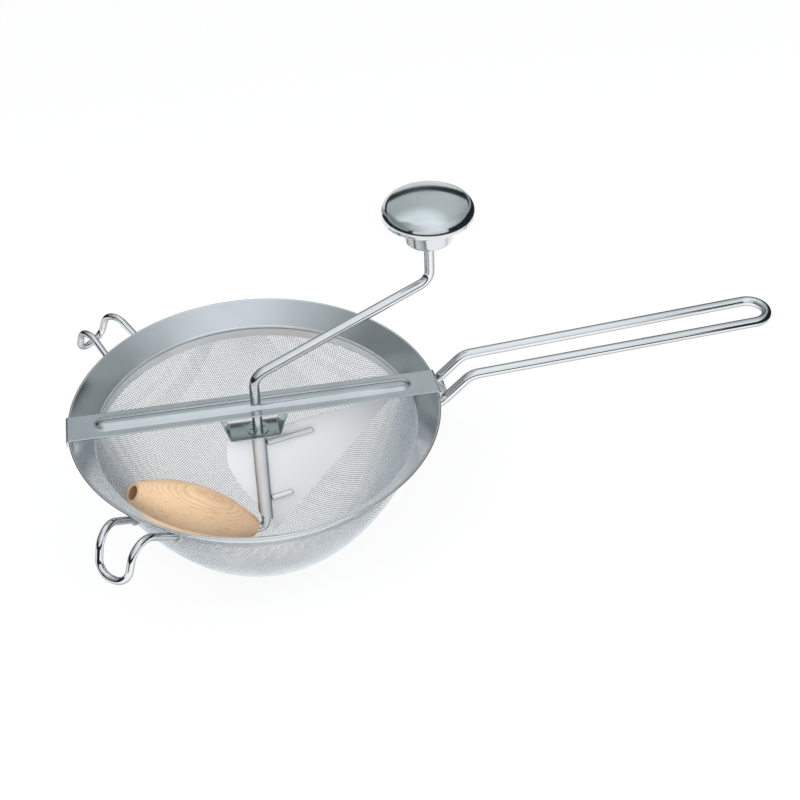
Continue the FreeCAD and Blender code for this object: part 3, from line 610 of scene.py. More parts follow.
def plain_mesh(name: str, shape: bmesh.types.BMesh) -> bpy.types.Mesh:
    """Turn a bmesh into a mesh and free it.

    Args:
        name: the mesh's name.
        shape: the bmesh.

    Returns:
        The new mesh.
    """
    mesh = bpy.data.meshes.new(name)
    shape.to_mesh(mesh)
    shape.free()
    return mesh


def spun(outline: Sequence[Point], steps: int = 240, place: Matrix | None = None,
         shades: Callable[[float], int] | None = None) -> bpy.types.Mesh:
    """Turn a closed outline round the upright axis.

    Args:
        outline: points of the section, as radius and height in mm.
        steps: how many flats the turn has.
        place: where the finished shape goes.
        shades: gives the material number of a face from its middle's radius.

    Returns:
        The new mesh.
    """
    shape = bmesh.new()
    rings = []
    for number in range(steps):
        angle = math.tau * number / steps
        turned = Vector((math.cos(angle), math.sin(angle), 0.0)) * MM
        rings.append([shape.verts.new(turned * radius + Vector((0.0, 0.0, height * MM)))
                      for radius, height in outline])
    for number in range(steps):
        here = rings[number]
        there = rings[(number + 1) % steps]
        for index in range(len(outline)):
            after = (index + 1) % len(outline)
            face = shape.faces.new((here[index], there[index], there[after], here[after]))
            if shades:
                face.material_index = shades((outline[index][0] + outline[after][0]) / 2)
    bmesh.ops.remove_doubles(shape, verts=shape.verts, dist=WELD_MM * MM)
    bmesh.ops.recalc_face_normals(shape, faces=shape.faces)
    if place:
        shape.transform(place)
    return finish_mesh(plain_mesh("spun", shape))


def evaluated(thing: bpy.types.Object) -> bpy.types.Mesh:
    """Make a plain mesh of an object with modifiers, and remove the object.

    Args:
        thing: the object.

    Returns:
        The mesh that its modifiers make.
    """
    graph = bpy.context.evaluated_depsgraph_get()
    mesh = bpy.data.meshes.new_from_object(thing.evaluated_get(graph))
    thing.modifiers.clear()
    bpy.data.objects.remove(thing)
    return mesh


def modified(mesh: bpy.types.Mesh, modifiers: Sequence[tuple[str, dict]]) -> bpy.types.Mesh:
    """Run a mesh through a list of modifiers.

    Args:
        mesh: the mesh to work on.
        modifiers: each modifier's type and its settings.

    Returns:
        The resulting mesh.
    """
    thing = placed("blank", mesh)
    for kind, settings in modifiers:
        modifier = thing.modifiers.new(kind.lower(), kind)
        for name, setting in settings.items():
            setattr(modifier, name, setting)
    return evaluated(thing)


def thickened(thickness: float, offset: float) -> tuple[str, dict]:
    """Return the modifier that gives a sheet its thickness in mm; offset 0 keeps it in the middle."""
    return "SOLIDIFY", {"thickness": thickness * MM, "offset": offset, "use_even_offset": True}


def eased(width: float, segments: int, angle: float) -> tuple[str, dict]:
    """Return the modifier that rounds edges by a width in mm where they turn more than an angle."""
    return "BEVEL", {"width": width * MM, "segments": segments, "limit_method": "ANGLE",
                     "angle_limit": math.radians(angle)}


def cylinder(radius: float, top: float, bottom: float, segments: int, capped: bool) -> bmesh.types.BMesh:
    """Make a cylinder round the upright axis.

    Args:
        radius: its radius, in mm.
        top: height of its upper end.
        bottom: height of its lower end.
        segments: how many flats it has.
        capped: True to close its ends.

    Returns:
        The cylinder as a bmesh.
    """
    shape = bmesh.new()
    bmesh.ops.create_cone(shape, cap_ends=capped, segments=segments, radius1=radius * MM,
                          radius2=radius * MM, depth=(top - bottom) * MM,
                          matrix=Matrix.Translation((0, 0, (top + bottom) / 2 * MM)))
    return shape


def bent_strip(line: Sequence[Point], thickness: float, low: float, high: float) -> bpy.types.Mesh:
    """Make a strip of sheet that follows a line in the XZ plane.

    Args:
        line: the strip's middle line, in mm, with its bends already rounded.
        thickness: the sheet.
        low: the strip's edge at the front, along Y.
        high: the strip's edge at the back.

    Returns:
        A closed mesh with eased edges.
    """
    shape = bmesh.new()
    rows = [[shape.verts.new((x * MM, y * MM, z * MM)) for y in (low, (low + high) / 2, high)]
            for x, z in line]
    for here, there in zip(rows, rows[1:]):
        for index in range(len(here) - 1):
            shape.faces.new((here[index], there[index], there[index + 1], here[index + 1]))
    made = modified(plain_mesh("strip", shape), [
        thickened(thickness, offset=0.0), eased(STRIP_EDGE_MM, segments=2, angle=50.0)])
    return finish_mesh(made, sharp_angle=60.0)


def with_hole(mesh: bpy.types.Mesh, radius: float, top: float, bottom: float) -> bpy.types.Mesh:
    """Cut an upright round hole through a mesh at the origin.

    Args:
        mesh: the mesh to cut.
        radius: the hole's radius, in mm.
        top: height above which the drill starts.
        bottom: height below which it ends.

    Returns:
        The cut mesh.
    """
    drill = placed("drill", plain_mesh("drill", cylinder(radius, top, bottom, HOLE_FLATS, capped=True)))
    cut = modified(mesh, [("BOOLEAN", {"operation": "DIFFERENCE", "object": drill, "solver": "EXACT"})])
    bpy.data.objects.remove(drill)
    return finish_mesh(cut, sharp_angle=40.0)


# ---------------------------------------------------------------------------------------------
# collar
# ---------------------------------------------------------------------------------------------

@dataclass
class Collar:
    """Spun steel collar: a rolled rim, a flange that runs smoothly into it and a polished upright wall."""

    rim_radius: float = 100.0
    bead_radius: float = 0.8
    wall_radius: float = 87.3
    wall_bottom: float = -18.3
    sheet: float = 0.5
    slope: float = 42.3
    corner: float = 1.1
    polished_from: float = 87.7
    bead_steps: int = 28
    turn_steps: int = 360

    def flange(self, radius: float, side: float) -> float:
        """Return the height of one face of the flange's sheet.

        Args:
            radius: where on the flange.
            side: 1 for the upper face, -1 for the lower one.

        Returns:
            The height in mm.
        """
        incline = math.radians(self.slope)
        middle = -self.bead_radius - (self.rim_radius - self.bead_radius - radius) * math.tan(incline)
        return middle + self.sheet / 2 / math.cos(incline) * side

    def outline(self) -> list[Point]:
        """Draw the section of the sheet with its rolled edge.

        Returns:
            Its points in order, as radius and height.
        """
        bead = self.bead_radius
        centre = (self.rim_radius - bead, -bead)
        inside = self.wall_radius - self.sheet / 2
        outside = self.wall_radius + self.sheet / 2
        top = self.flange(inside, 1)
        across = centre[0] - inside
        rise = centre[1] - top
        first = math.atan2(rise, across) + math.asin(bead / math.hypot(across, rise)) + math.pi / 2
        last = math.radians(self.slope) + math.asin(self.sheet / 2 / bead) - math.pi
        roll = [(centre[0] + bead * math.cos(angle), centre[1] + bead * math.sin(angle))
                for angle in (first + (last - first) * number / self.bead_steps
                              for number in range(self.bead_steps + 1))]
        points = [(inside, self.wall_bottom), (inside, top)] + roll
        points += [(outside, self.flange(outside, -1)), (outside, self.wall_bottom)]
        return rounded(points, {1: self.corner + self.sheet, len(points) - 2: self.corner})

    def finish_at(self, radius: float) -> int:
        """Choose the finish of a face.

        Args:
            radius: the radius of the face's middle.

        Returns:
            0 for the flange, 1 for the wall, 2 for the rolled rim.
        """
        if radius < self.polished_from:
            return 1
        return 2 if radius > self.rim_radius - 2 * self.bead_radius else 0

    def build(self, satin: bpy.types.Material, wall: bpy.types.Material, rim: bpy.types.Material) -> None:
        """Make the collar.

        Args:
            satin: finish of the flange.
            wall: finish of the upright wall.
            rim: finish of the rolled rim.
        """
        mesh = spun(self.outline(), self.turn_steps, shades=self.finish_at)
        for finish in (satin, wall, rim):
            mesh.materials.append(finish)
        piece("spun_collar", mesh, satin, "strainer", ["rim_collar"])


# ---------------------------------------------------------------------------------------------
# woven bowl
# ---------------------------------------------------------------------------------------------

@dataclass
class WovenBowl:
    """Wire cloth pressed into a round-bottomed bowl, woven wire by wire."""

    pitch: float = 1.25
    wire: float = 0.42
    crimp: float = 0.19
    ball_radius: float = 77.4
    bottom: float = -97.9
    ball_turn: float = 53.7
    wall_radius: float = 87.97
    wall_start: float = -18.32
    edge: float = -12.5
    cloth_turn: float = 45.0
    draw_in: float = 0.45
    draw_out: float = 0.22
    ball_steps: int = 60
    side_steps: int = 40
    wire_sides: int = 4

    def profile(self) -> list[Point]:
        """Draw the bowl's middle line.

        Returns:
            Its points from the lowest one up to the edge, as radius and height.
        """
        turn = math.radians(self.ball_turn)
        middle = self.bottom + self.ball_radius
        points = []
        for number in range(self.ball_steps + 1):
            angle = turn * number / self.ball_steps
            points.append((self.ball_radius * math.sin(angle), middle - self.ball_radius * math.cos(angle)))
        waist = points[-1]
        across = self.wall_radius - waist[0]
        rise = self.wall_start - waist[1]
        side = (across * across + rise * rise) / (math.cos(turn) * rise - math.sin(turn) * across) / 2
        centre = (waist[0] - side * math.sin(turn), waist[1] + side * math.cos(turn))
        last = math.acos(max(-1.0, min(1.0, (centre[1] - self.wall_start) / side)))
        for number in range(1, self.side_steps + 1):
            angle = turn + (last - turn) * number / self.side_steps
            points.append((centre[0] + side * math.sin(angle), centre[1] - side * math.cos(angle)))
        points.append((self.wall_radius, self.edge))
        return points

    def line(self) -> bpy.types.Object:
        """Lay the profile down as a curve for the node tree.

        Returns:
            The curve's object, in the XZ plane.
        """
        curve = bpy.data.curves.new("bowl_profile", "CURVE")
        curve.dimensions = "3D"
        points = self.profile()
        spline = curve.splines.new("POLY")
        spline.points.add(len(points) - 1)
        for spot, (radius, height) in zip(spline.points, points):
            spot.co = (radius * MM, 0.0, height * MM, 1.0)
        return placed("bowl_profile", curve)

    def flat_wires(self, sheet: Sheet, given: bpy.types.NodeOutputs) -> Socket:
        """Lay straight wires side by side, with a point at each crossing.

        Args:
            sheet: the tree's nodes.
            given: the tree's inputs.

        Returns:
            The wires as rows of joined points.
        """
        pitch = given["Pitch"]
        half = sheet.math("MULTIPLY", given["Half Length"], pitch)
        wire = sheet.add("GeometryNodeMeshLine", {
            "Count": sheet.math("ADD", sheet.math("MULTIPLY", given["Half Length"], 2.0), 1.0),
            "Start Location": sheet.join(sheet.math("MULTIPLY", half, -1.0), 0.0, 0.0),
            "Offset": sheet.join(pitch, 0.0, 0.0)}, mode="OFFSET")
        starts = sheet.add("GeometryNodeMeshLine", {
            "Count": given["Wires"],
            "Start Location": sheet.join(0.0, sheet.math("MULTIPLY", given["First"], pitch), 0.0),
            "Offset": sheet.join(0.0, pitch, 0.0)}, mode="OFFSET")
        copies = sheet.add("GeometryNodeInstanceOnPoints", {"Points": starts.outputs[0],
                                                            "Instance": wire.outputs[0]})
        return sheet.add("GeometryNodeRealizeInstances", {0: copies.outputs[0]}).outputs[0]

    def marked(self, sheet: Sheet, given: bpy.types.NodeOutputs, cloth: Socket) -> Socket:
        """Store on each crossing where it comes to lie on the bowl and which side its wire takes.

        The cloth is drawn in and out along its diagonals, as pressing it into a bowl does.

        Args:
            sheet: the tree's nodes.
            given: the tree's inputs.
            cloth: the flat wires.

        Returns:
            The wires with "length" up the profile, "heading" round the axis and "side" from -1 to 1.
        """
        pitch = given["Pitch"]
        x, y, _ = sheet.split(sheet.add("GeometryNodeInputPosition").outputs[0])
        steps = sheet.math("ADD", sheet.math("ROUND", sheet.math("DIVIDE", x, pitch)),
                           sheet.math("ROUND", sheet.math("DIVIDE", y, pitch)))
        odd = sheet.math("FLOORED_MODULO", steps, 2.0)
        over = sheet.math("SUBTRACT", sheet.math("MULTIPLY", odd, 2.0), 1.0)
        side = sheet.math("MULTIPLY", over, given["Over"])
        radius = sheet.vector("LENGTH", sheet.join(x, y, 0.0), output="Value")
        angle = sheet.math("ADD", sheet.math("ARCTAN2", y, x), given["Across"])
        share = sheet.math("POWER", sheet.math("DIVIDE", radius, given["Reach"]), 2.0)
        four = sheet.math("MULTIPLY", angle, 4.0)
        shear = sheet.math("MULTIPLY", sheet.math("MULTIPLY", share, given["Draw In"]),
                           sheet.math("MULTIPLY", sheet.math("SINE", four), 0.25))
        loose = sheet.math("MULTIPLY", sheet.math("SUBTRACT", 1.0, sheet.math("COSINE", four)), 0.5)
        drawn = sheet.math("MULTIPLY", share, given["Draw Out"])
        stretch = sheet.math("ADD", 1.0, sheet.math("MULTIPLY", drawn, loose))
        length = sheet.math("MULTIPLY", radius, stretch)
        heading = sheet.math("ADD", sheet.math("ADD", angle, shear), given["Turn"])
        for name, value in (("length", length), ("heading", heading), ("side", side)):
            cloth = sheet.store(cloth, name, value)
        return cloth

    def pressed(self, sheet: Sheet, given: bpy.types.NodeOutputs, cloth: Socket) -> Socket:
        """Trim the wires at the bowl's edge and press them to its profile, over and under each other.

        Args:
            sheet: the tree's nodes.
            given: the tree's inputs.
            cloth: the marked wires.

        Returns:
            The wires on the bowl.
        """
        beyond = sheet.add("FunctionNodeCompare", {0: sheet.stored("length"), 1: given["Reach"]},
                           data_type="FLOAT", operation="GREATER_THAN").outputs[0]
        trimmed = sheet.add("GeometryNodeDeleteGeometry", {"Geometry": cloth, "Selection": beyond}).outputs[0]
        sample = sheet.add("GeometryNodeSampleCurve", {
            "Curves": given["Profile"], "Length": sheet.stored("length")}, mode="LENGTH")
        spot = sheet.split(sample.outputs["Position"])
        tangent = sheet.split(sample.outputs["Tangent"])
        lift = sheet.math("MULTIPLY", sheet.stored("side"), given["Crimp"])
        reach = sheet.math("ADD", spot[0], sheet.math("MULTIPLY", tangent[2], lift))
        height = sheet.math("SUBTRACT", spot[2], sheet.math("MULTIPLY", tangent[0], lift))
        heading = sheet.stored("heading")
        place = sheet.join(sheet.math("MULTIPLY", reach, sheet.math("COSINE", heading)),
                           sheet.math("MULTIPLY", reach, sheet.math("SINE", heading)), height)
        return sheet.add("GeometryNodeSetPosition", {"Geometry": trimmed, "Position": place}).outputs[0]

    def drawn(self, sheet: Sheet, given: bpy.types.NodeOutputs, cloth: Socket) -> Socket:
        """Give the wires their thickness and their finish.

        Args:
            sheet: the tree's nodes.
            given: the tree's inputs.
            cloth: the wires on the bowl.

        Returns:
            The wires as closed tubes.
        """
        lines = sheet.add("GeometryNodeMeshToCurve", {0: cloth}).outputs[0]
        section = sheet.add("GeometryNodeCurvePrimitiveCircle", {
            "Resolution": self.wire_sides, "Radius": sheet.math("MULTIPLY", given["Wire"], 0.5)},
            mode="RADIUS").outputs[0]
        tubes = sheet.add("GeometryNodeCurveToMesh", {"Curve": lines, "Profile Curve": section,
                                                      "Fill Caps": True}).outputs[0]
        smooth = sheet.add("GeometryNodeSetShadeSmooth", {"Geometry": tubes, "Shade Smooth": True}).outputs[0]
        real = sheet.add("GeometryNodeRealizeInstances", {0: smooth}).outputs[0]
        finished = sheet.add("GeometryNodeSetMaterial", {"Geometry": real, "Material": given["Finish"]})
        return finished.outputs[0]

    def tree(self) -> bpy.types.NodeTree:
        """Build the node tree that weaves one set of wires and lays them on the bowl.

        Returns:
            The tree, with the cloth's sizes as its named inputs.
        """
        tree = bpy.data.node_groups.new("woven_wires", "GeometryNodeTree")
        tree.is_modifier = True
        tree.interface.new_socket("Geometry", in_out="OUTPUT", socket_type="NodeSocketGeometry")
        for kind, names in (
                ("Geometry", ("Profile",)),
                ("Float", ("Pitch", "Wire", "Crimp", "Turn", "Reach", "Draw In", "Draw Out", "Over",
                           "Across")),
                ("Int", ("First", "Wires", "Half Length")),
                ("Material", ("Finish",))):
            for name in names:
                tree.interface.new_socket(name, in_out="INPUT", socket_type=f"NodeSocket{kind}")
        sheet = Sheet(tree)
        given = sheet.add("NodeGroupInput").outputs
        cloth = self.marked(sheet, given, self.flat_wires(sheet, given))
        sheet.end("NodeGroupOutput", self.drawn(sheet, given, self.pressed(sheet, given, cloth)))
        return tree

    def reach(self) -> float:
        """Return the length of the profile from the lowest point to the edge."""
        points = self.profile()
        return sum(math.dist(here, there) for here, there in zip(points, points[1:]))

    def weave(self, tree: bpy.types.NodeTree, finish: bpy.types.Material, across: bool, first: int,
              wires: int) -> bpy.types.Mesh:
        """Weave some of the wires.

        Args:
            tree: the node tree.
            finish: the wires' material.
            across: True for the wires that cross the first set.
            first: number of the first wire, counted from the middle.
            wires: how many wires.

        Returns:
            The wires as a plain mesh.
        """
        thing = self.line()
        modifier = thing.modifiers.new("weave", "NODES")
        modifier.node_group = tree
        half_length = math.ceil(self.reach() / self.pitch)
        values = {"Pitch": self.pitch * MM, "Wire": self.wire * MM, "Crimp": self.crimp * MM,
                  "Turn": math.radians(self.cloth_turn), "Reach": self.reach() * MM,
                  "Draw In": self.draw_in, "Draw Out": self.draw_out, "Over": -1.0 if across else 1.0,
                  "Across": math.pi / 2 if across else 0.0, "First": first, "Wires": wires,
                  "Half Length": half_length, "Finish": finish}
        for item in tree.interface.items_tree:
            if item.in_out == "INPUT" and item.name in values:
                modifier[item.identifier] = values[item.name]
        return evaluated(thing)

    def build(self, finish: bpy.types.Material) -> None:
        """Weave the whole bowl in four pieces.

        Args:
            finish: the wires' material.
        """
        tree = self.tree()
        count = math.ceil(self.reach() / self.pitch)
        for label, across in (("warp", False), ("weft", True)):
            for number, (first, wires) in enumerate(((-count, count), (0, count + 1)), start=1):
                mesh = self.weave(tree, finish, across, first, wires)
                piece(f"woven_{label}_{number}", mesh, finish, "strainer", ["mesh_bowl"])


# ---------------------------------------------------------------------------------------------
# crossbar and bearing
# ---------------------------------------------------------------------------------------------

@dataclass
class Crossbar:
    """Pressed strap with a soft-edged rib, hooked over the rim, and the bearing strip under it."""

    half_length: float = 99.2
    rim_bead: float = 0.8
    gap: float = 0.04
    sheet: float = 0.8
    width: float = 20.0
    lip_bottom: float = -3.1
    rib_reach: float = 85.0
    rib_half: float = 5.2
    rib_height: float = 2.0
    rib_fullness: float = 2.6
    foot_blend: float = 0.5
    foot_outside: float = 0.9
    foot_inside: float = 1.5
    edge_round: float = 0.3
    across_steps: tuple[int, int, int] = (6, 14, 8)
    hook_steps: int = 12
    flat_steps: int = 330
    tab_width: float = 10.0
    tab_end: float = 105.2
    tab_middle: float = -4.5
    tab_bend: float = 0.9
    tab_overlap: float = 0.3
    shaft_hole: float = 2.81
    strap_drill: Point = (6.0, -2.0)
    bracket_middle: float = -1.9
    bracket_floor: float = 13.6
    bracket_spread: float = 18.3
    bracket_depth: float = 15.0
    bracket_bottom: float = -17.3
    bracket_foot: float = 7.0
    bracket_bend: float = 1.2
    bracket_gap: float = 0.02
    bracket_drill: Point = (-14.0, -20.0)

    def rib(self, x: float, y: float) -> float:
        """Return how far the rib lifts the strap.

        Args:
            x: the place along the strap.
            y: the place across it.

        Returns:
            The lift in mm, easing to 0 at the rib's feet.
        """
        straight = self.rib_reach - self.rib_half
        away = abs(y) if abs(x) < straight else math.hypot(abs(x) - straight, y)
        lift = self.rib_height * (1 - (away / self.rib_half) ** self.rib_fullness)
        return (lift + math.hypot(lift, self.foot_blend)) / 2

    def stations(self) -> list[float]:
        """Choose where across the strap its points lie, closer together at the rib's feet.

        Returns:
            The places from one edge to the other.
        """
        half = self.width / 2
        outside = self.rib_half + self.foot_outside
        foot_width = self.foot_outside + self.foot_inside
        plain_steps, foot_steps, crown_steps = self.across_steps
        plain = [half - (half - outside) * number / plain_steps for number in range(plain_steps)]
        foot = [outside - foot_width * number / foot_steps for number in range(foot_steps)]
        inside = self.rib_half - self.foot_inside
        crown = [inside * (1 - number / crown_steps) for number in range(crown_steps)]
        side = plain + foot + crown
        return [-y for y in side] + [0.0] + side[::-1]

    def strap_line(self) -> list[Point]:
        """Draw the strap's upper face from lip to lip.

        Returns:
            Its points as X and Z.
        """
        skin = self.rim_bead + self.gap + self.sheet
        centre = (self.half_length, -self.rim_bead)
        right = [(centre[0] + skin, self.lip_bottom), (centre[0] + skin, (self.lip_bottom + centre[1]) / 2)]
        for number in range(self.hook_steps + 1):
            angle = math.pi / 2 * number / self.hook_steps
            right.append((centre[0] + skin * math.cos(angle), centre[1] + skin * math.sin(angle)))
        top = centre[1] + skin
        flat = [(self.half_length * (1 - 2 * number / self.flat_steps), top)
                for number in range(1, self.flat_steps)]
        return right + flat + [(-x, z) for x, z in reversed(right)]

    def build_strap(self, steel: bpy.types.Material) -> None:
        """Make the strap with its rib.

        Args:
            steel: its finish.
        """
        shape = bmesh.new()
        across = self.stations()
        rows = [[shape.verts.new((x * MM, y * MM, (z + self.rib(x, y)) * MM)) for y in across]
                for x, z in self.strap_line()]
        for here, there in zip(rows, rows[1:]):
            for index in range(len(across) - 1):
                shape.faces.new((here[index], here[index + 1], there[index + 1], there[index]))
        bmesh.ops.recalc_face_normals(shape, faces=shape.faces)
        if sum(face.normal.z for face in shape.faces) < 0:
            bmesh.ops.reverse_faces(shape, faces=shape.faces)
        solid = modified(plain_mesh("strap", shape), [
            thickened(self.sheet, offset=-1.0), eased(self.edge_round, segments=3, angle=60.0)])
        mesh = with_hole(solid, self.shaft_hole, *self.strap_drill)
        piece("pressed_crossbar", mesh, steel, "strainer", ["crossbar"])

    def build_tab(self, steel: bpy.types.Material) -> None:
        """Make the thumb tab that turns out from the lip at the handle's end.

        Args:
            steel: its finish.
        """
        middle = self.half_length + self.rim_bead + self.gap + self.sheet / 2
        line = rounded([(middle, self.lip_bottom + self.tab_overlap), (middle, self.tab_middle),
                        (self.tab_end, self.tab_middle)], {1: self.tab_bend})
        half = self.tab_width / 2
        mesh = bent_strip(line, self.sheet, -half, half)
        piece("thumb_tab", mesh, steel, "strainer", ["crossbar"])

    def build_bracket(self, steel: bpy.types.Material) -> None:
        """Make the bent strip whose floor is the shaft's lower bearing.

        Args:
            steel: its finish.
        """
        middle = self.bracket_middle
        top = self.gap - self.bracket_gap - self.sheet / 2
        floor = self.bracket_bottom + self.sheet / 2
        half = [(self.bracket_floor, floor), (self.bracket_spread, top),
                (self.bracket_spread + self.bracket_foot, top)]
        line = [(middle - x, z) for x, z in reversed(half)] + [(middle + x, z) for x, z in half]
        line = rounded(line, dict.fromkeys((1, 2, 3, 4), self.bracket_bend))
        half_depth = self.bracket_depth / 2
        strip = bent_strip(line, self.sheet, -half_depth, half_depth)
        mesh = with_hole(strip, self.shaft_hole, *self.bracket_drill)
        piece("bearing_strip", mesh, steel, "strainer", ["bearing_bracket"])

    def build(self, steel: bpy.types.Material, dark: bpy.types.Material) -> None:
        """Make the strap, its tab and the bearing strip.

        Args:
            steel: finish of the strap.
            dark: finish of the bearing strip.
        """
        self.build_strap(steel)
        self.build_tab(steel)
        self.build_bracket(dark)


# ---------------------------------------------------------------------------------------------
# knob
# ---------------------------------------------------------------------------------------------

@dataclass
class KnobCap:
    """Domed steel cap of the knob, with a full round shoulder and its edge rolled in under the cup."""

    radius: float = 24.5
    base: float = 41.2
    shoulder: float = 6.5
    crown: float = 58.0
    crown_middle: float = -5.6
    sheet: float = 0.7
    lip: float = 2.2
    hem: float = 0.25
    shoulder_steps: int = 26
    inner_shoulder_steps: int = 12
    crown_steps: int = 16
    turn_steps: int = 160

    def arc(self, middle: Point, radius: float, start: float, end: float, steps: int) -> list[Point]:
        """Return points on an arc.

        Args:
            middle: the arc's middle.
            radius: its radius.
            start: angle of the first point, from the knob's axis, in radians.
            end: angle of the last point.
            steps: how many parts it has.

        Returns:
            The points, as radius and height.
        """
        turns = (start + (end - start) * number / steps for number in range(steps + 1))
        return [(middle[0] + radius * math.sin(turn), middle[1] + radius * math.cos(turn)) for turn in turns]

    def outline(self) -> list[Point]:
        """Draw the section of the sheet, from the lower edge over the crown and back inside.

        Returns:
            Its points in order, as radius and height.
        """
        across = self.radius - self.shoulder
        turn = math.asin(across / (self.crown - self.shoulder))
        middle = (across, self.crown_middle + (self.crown - self.shoulder) * math.cos(turn))
        centre = (0.0, self.crown_middle)
        outside = [(self.radius - self.hem, self.base), (self.radius, self.base + self.hem)]
        outside += self.arc(middle, self.shoulder, math.pi / 2, turn, self.shoulder_steps)
        outside += self.arc(centre, self.crown, turn, 0.0, self.crown_steps)[1:]
        inside = self.arc(centre, self.crown - self.sheet, 0.0, turn, self.crown_steps)
        inside += self.arc(middle, self.shoulder - self.sheet, turn, math.pi / 2,
                           self.inner_shoulder_steps)[1:]
        inner = self.base + self.sheet
        inside += [(self.radius - self.sheet, inner), (self.radius - self.lip, inner),
                   (self.radius - self.lip, self.base)]
        return outside + inside

    def build(self, steel: bpy.types.Material, place: Matrix) -> None:
        """Make the cap.

        Args:
            steel: its finish.
            place: the frame of the knob's rod.
        """
        mesh = spun(self.outline(), self.turn_steps, place)
        piece("knob_dome", mesh, steel, "knob", ["knob_shell"])


# ---------------------------------------------------------------------------------------------
# finishes on the CAD nodes
# ---------------------------------------------------------------------------------------------

def dress(finishes: dict[str, tuple[bpy.types.Material, Sequence[str]]]) -> None:
    """Give the carried-over CAD nodes their finishes.

    Args:
        finishes: for each finish, its material and the nodes that have it.
    """
    for label, (material, nodes) in finishes.items():
        for node in nodes:
            mesh = frame["nodes"][node].data
            mesh.materials.clear()
            mesh.materials.append(material)
            log.info("%s: %s", node, label)


# ---------------------------------------------------------------------------------------------
# studio
# ---------------------------------------------------------------------------------------------

def stage_piece(name: str, shape: bmesh.types.BMesh, material: bpy.types.Material) -> bpy.types.Object:
    """Put a finished bmesh in the scene as part of the stage.

    Args:
        name: the stage piece's name.
        shape: its bmesh.
        material: its material.

    Returns:
        The new object.
    """
    mesh = plain_mesh(name, shape)
    mesh.materials.append(material)
    thing = placed(name, mesh)
    return thing


def only_mirrored(thing: bpy.types.Object) -> None:
    """Leave a stage piece to be seen only in polished surfaces."""
    for kind in ("camera", "diffuse", "transmission", "volume_scatter", "shadow"):
        setattr(thing, f"visible_{kind}", False)


def seen_rays(sheet: Sheet) -> Socket:
    """Tell the rays that see a surface straight, in a mirror or through glass from all others.

    Args:
        sheet: the nodes to add to.

    Returns:
        1 for those rays, else 0.
    """
    rays = sheet.add("ShaderNodeLightPath").outputs
    return sheet.math("MAXIMUM", rays["Is Camera Ray"],
                      sheet.math("MAXIMUM", rays["Is Glossy Ray"], rays["Is Transmission Ray"]))


@dataclass(frozen=True)
class Patch:
    """A soft-edged patch of another tone on the flags.

    Headings are in degrees from the back, clockwise as seen from above; heights are in mm, and a
    patch that climbs rises by that many mm for each degree.
    """

    left: float
    right: float
    low: float
    high: float
    tone: Colour
    climb: float = 0.0
    soft_degrees: float = 3.0
    soft_mm: float = 10.0

    def share(self, sheet: Sheet, heading: Socket, height: Socket) -> Socket:
        """Return how much of the patch's tone a place shows.

        Args:
            sheet: the material's nodes.
            heading: the place's heading.
            height: its height.

        Returns:
            A number from 0 to 1.
        """
        level = sheet.math("SUBTRACT", height, sheet.math("MULTIPLY", heading, self.climb))
        share: object = 1.0
        for place, start, end, soft in ((heading, self.left, self.right, self.soft_degrees),
                                        (level, self.low, self.high, self.soft_mm)):
            for edge, outside, inside in ((start, 0.0, 1.0), (end, 1.0, 0.0)):
                side = sheet.spread(place, edge - soft, edge + soft, outside, inside, smooth=True)
                share = sheet.math("MULTIPLY", share, side)
        return share


DARK_CLOTH = colour(0.016, 0.021, 0.023)
GREY_CLOTH = colour(0.31, 0.34, 0.345)
PALE_CLOTH = colour(0.74, 0.77, 0.79)
PATCHES = (
    Patch(-25, 38, -200, 196, PALE_CLOTH),
    Patch(28, 90, -236, -112, GREY_CLOTH, climb=7.4),
    Patch(-64, -8, -238, -86, GREY_CLOTH, climb=-9.5),
    Patch(-125, -50, 190, 500, GREY_CLOTH),
    Patch(138, 200, 95, 500, PALE_CLOTH),
    Patch(-200, -138, 95, 500, PALE_CLOTH),
)


@dataclass(frozen=True)
class Lamp:
    """A square soft lamp that polished metal doesn't mirror; its places and size are in metres."""

    name: str
    place: Place
    power: float
    size: float = 0.9
    aim: Place = (0.05, 0.0, 0.0)

    def hang(self) -> None:
        """Hang the lamp so that it faces the object."""
        data = bpy.data.lights.new(self.name, "AREA")
        data.shape = "SQUARE"
        data.size = self.size
        data.energy = self.power
        lamp = placed(self.name, data)
        lamp.location = self.place
        lamp.visible_glossy = False
        lamp.rotation_mode = "QUATERNION"
        lamp.rotation_quaternion = (Vector(self.aim) - Vector(self.place)).to_track_quat("-Z", "Y")


LAMPS = (Lamp("key", (-0.55, -0.75, 1.15), 12.0), Lamp("fill", (0.95, -0.35, 0.85), 5.5))


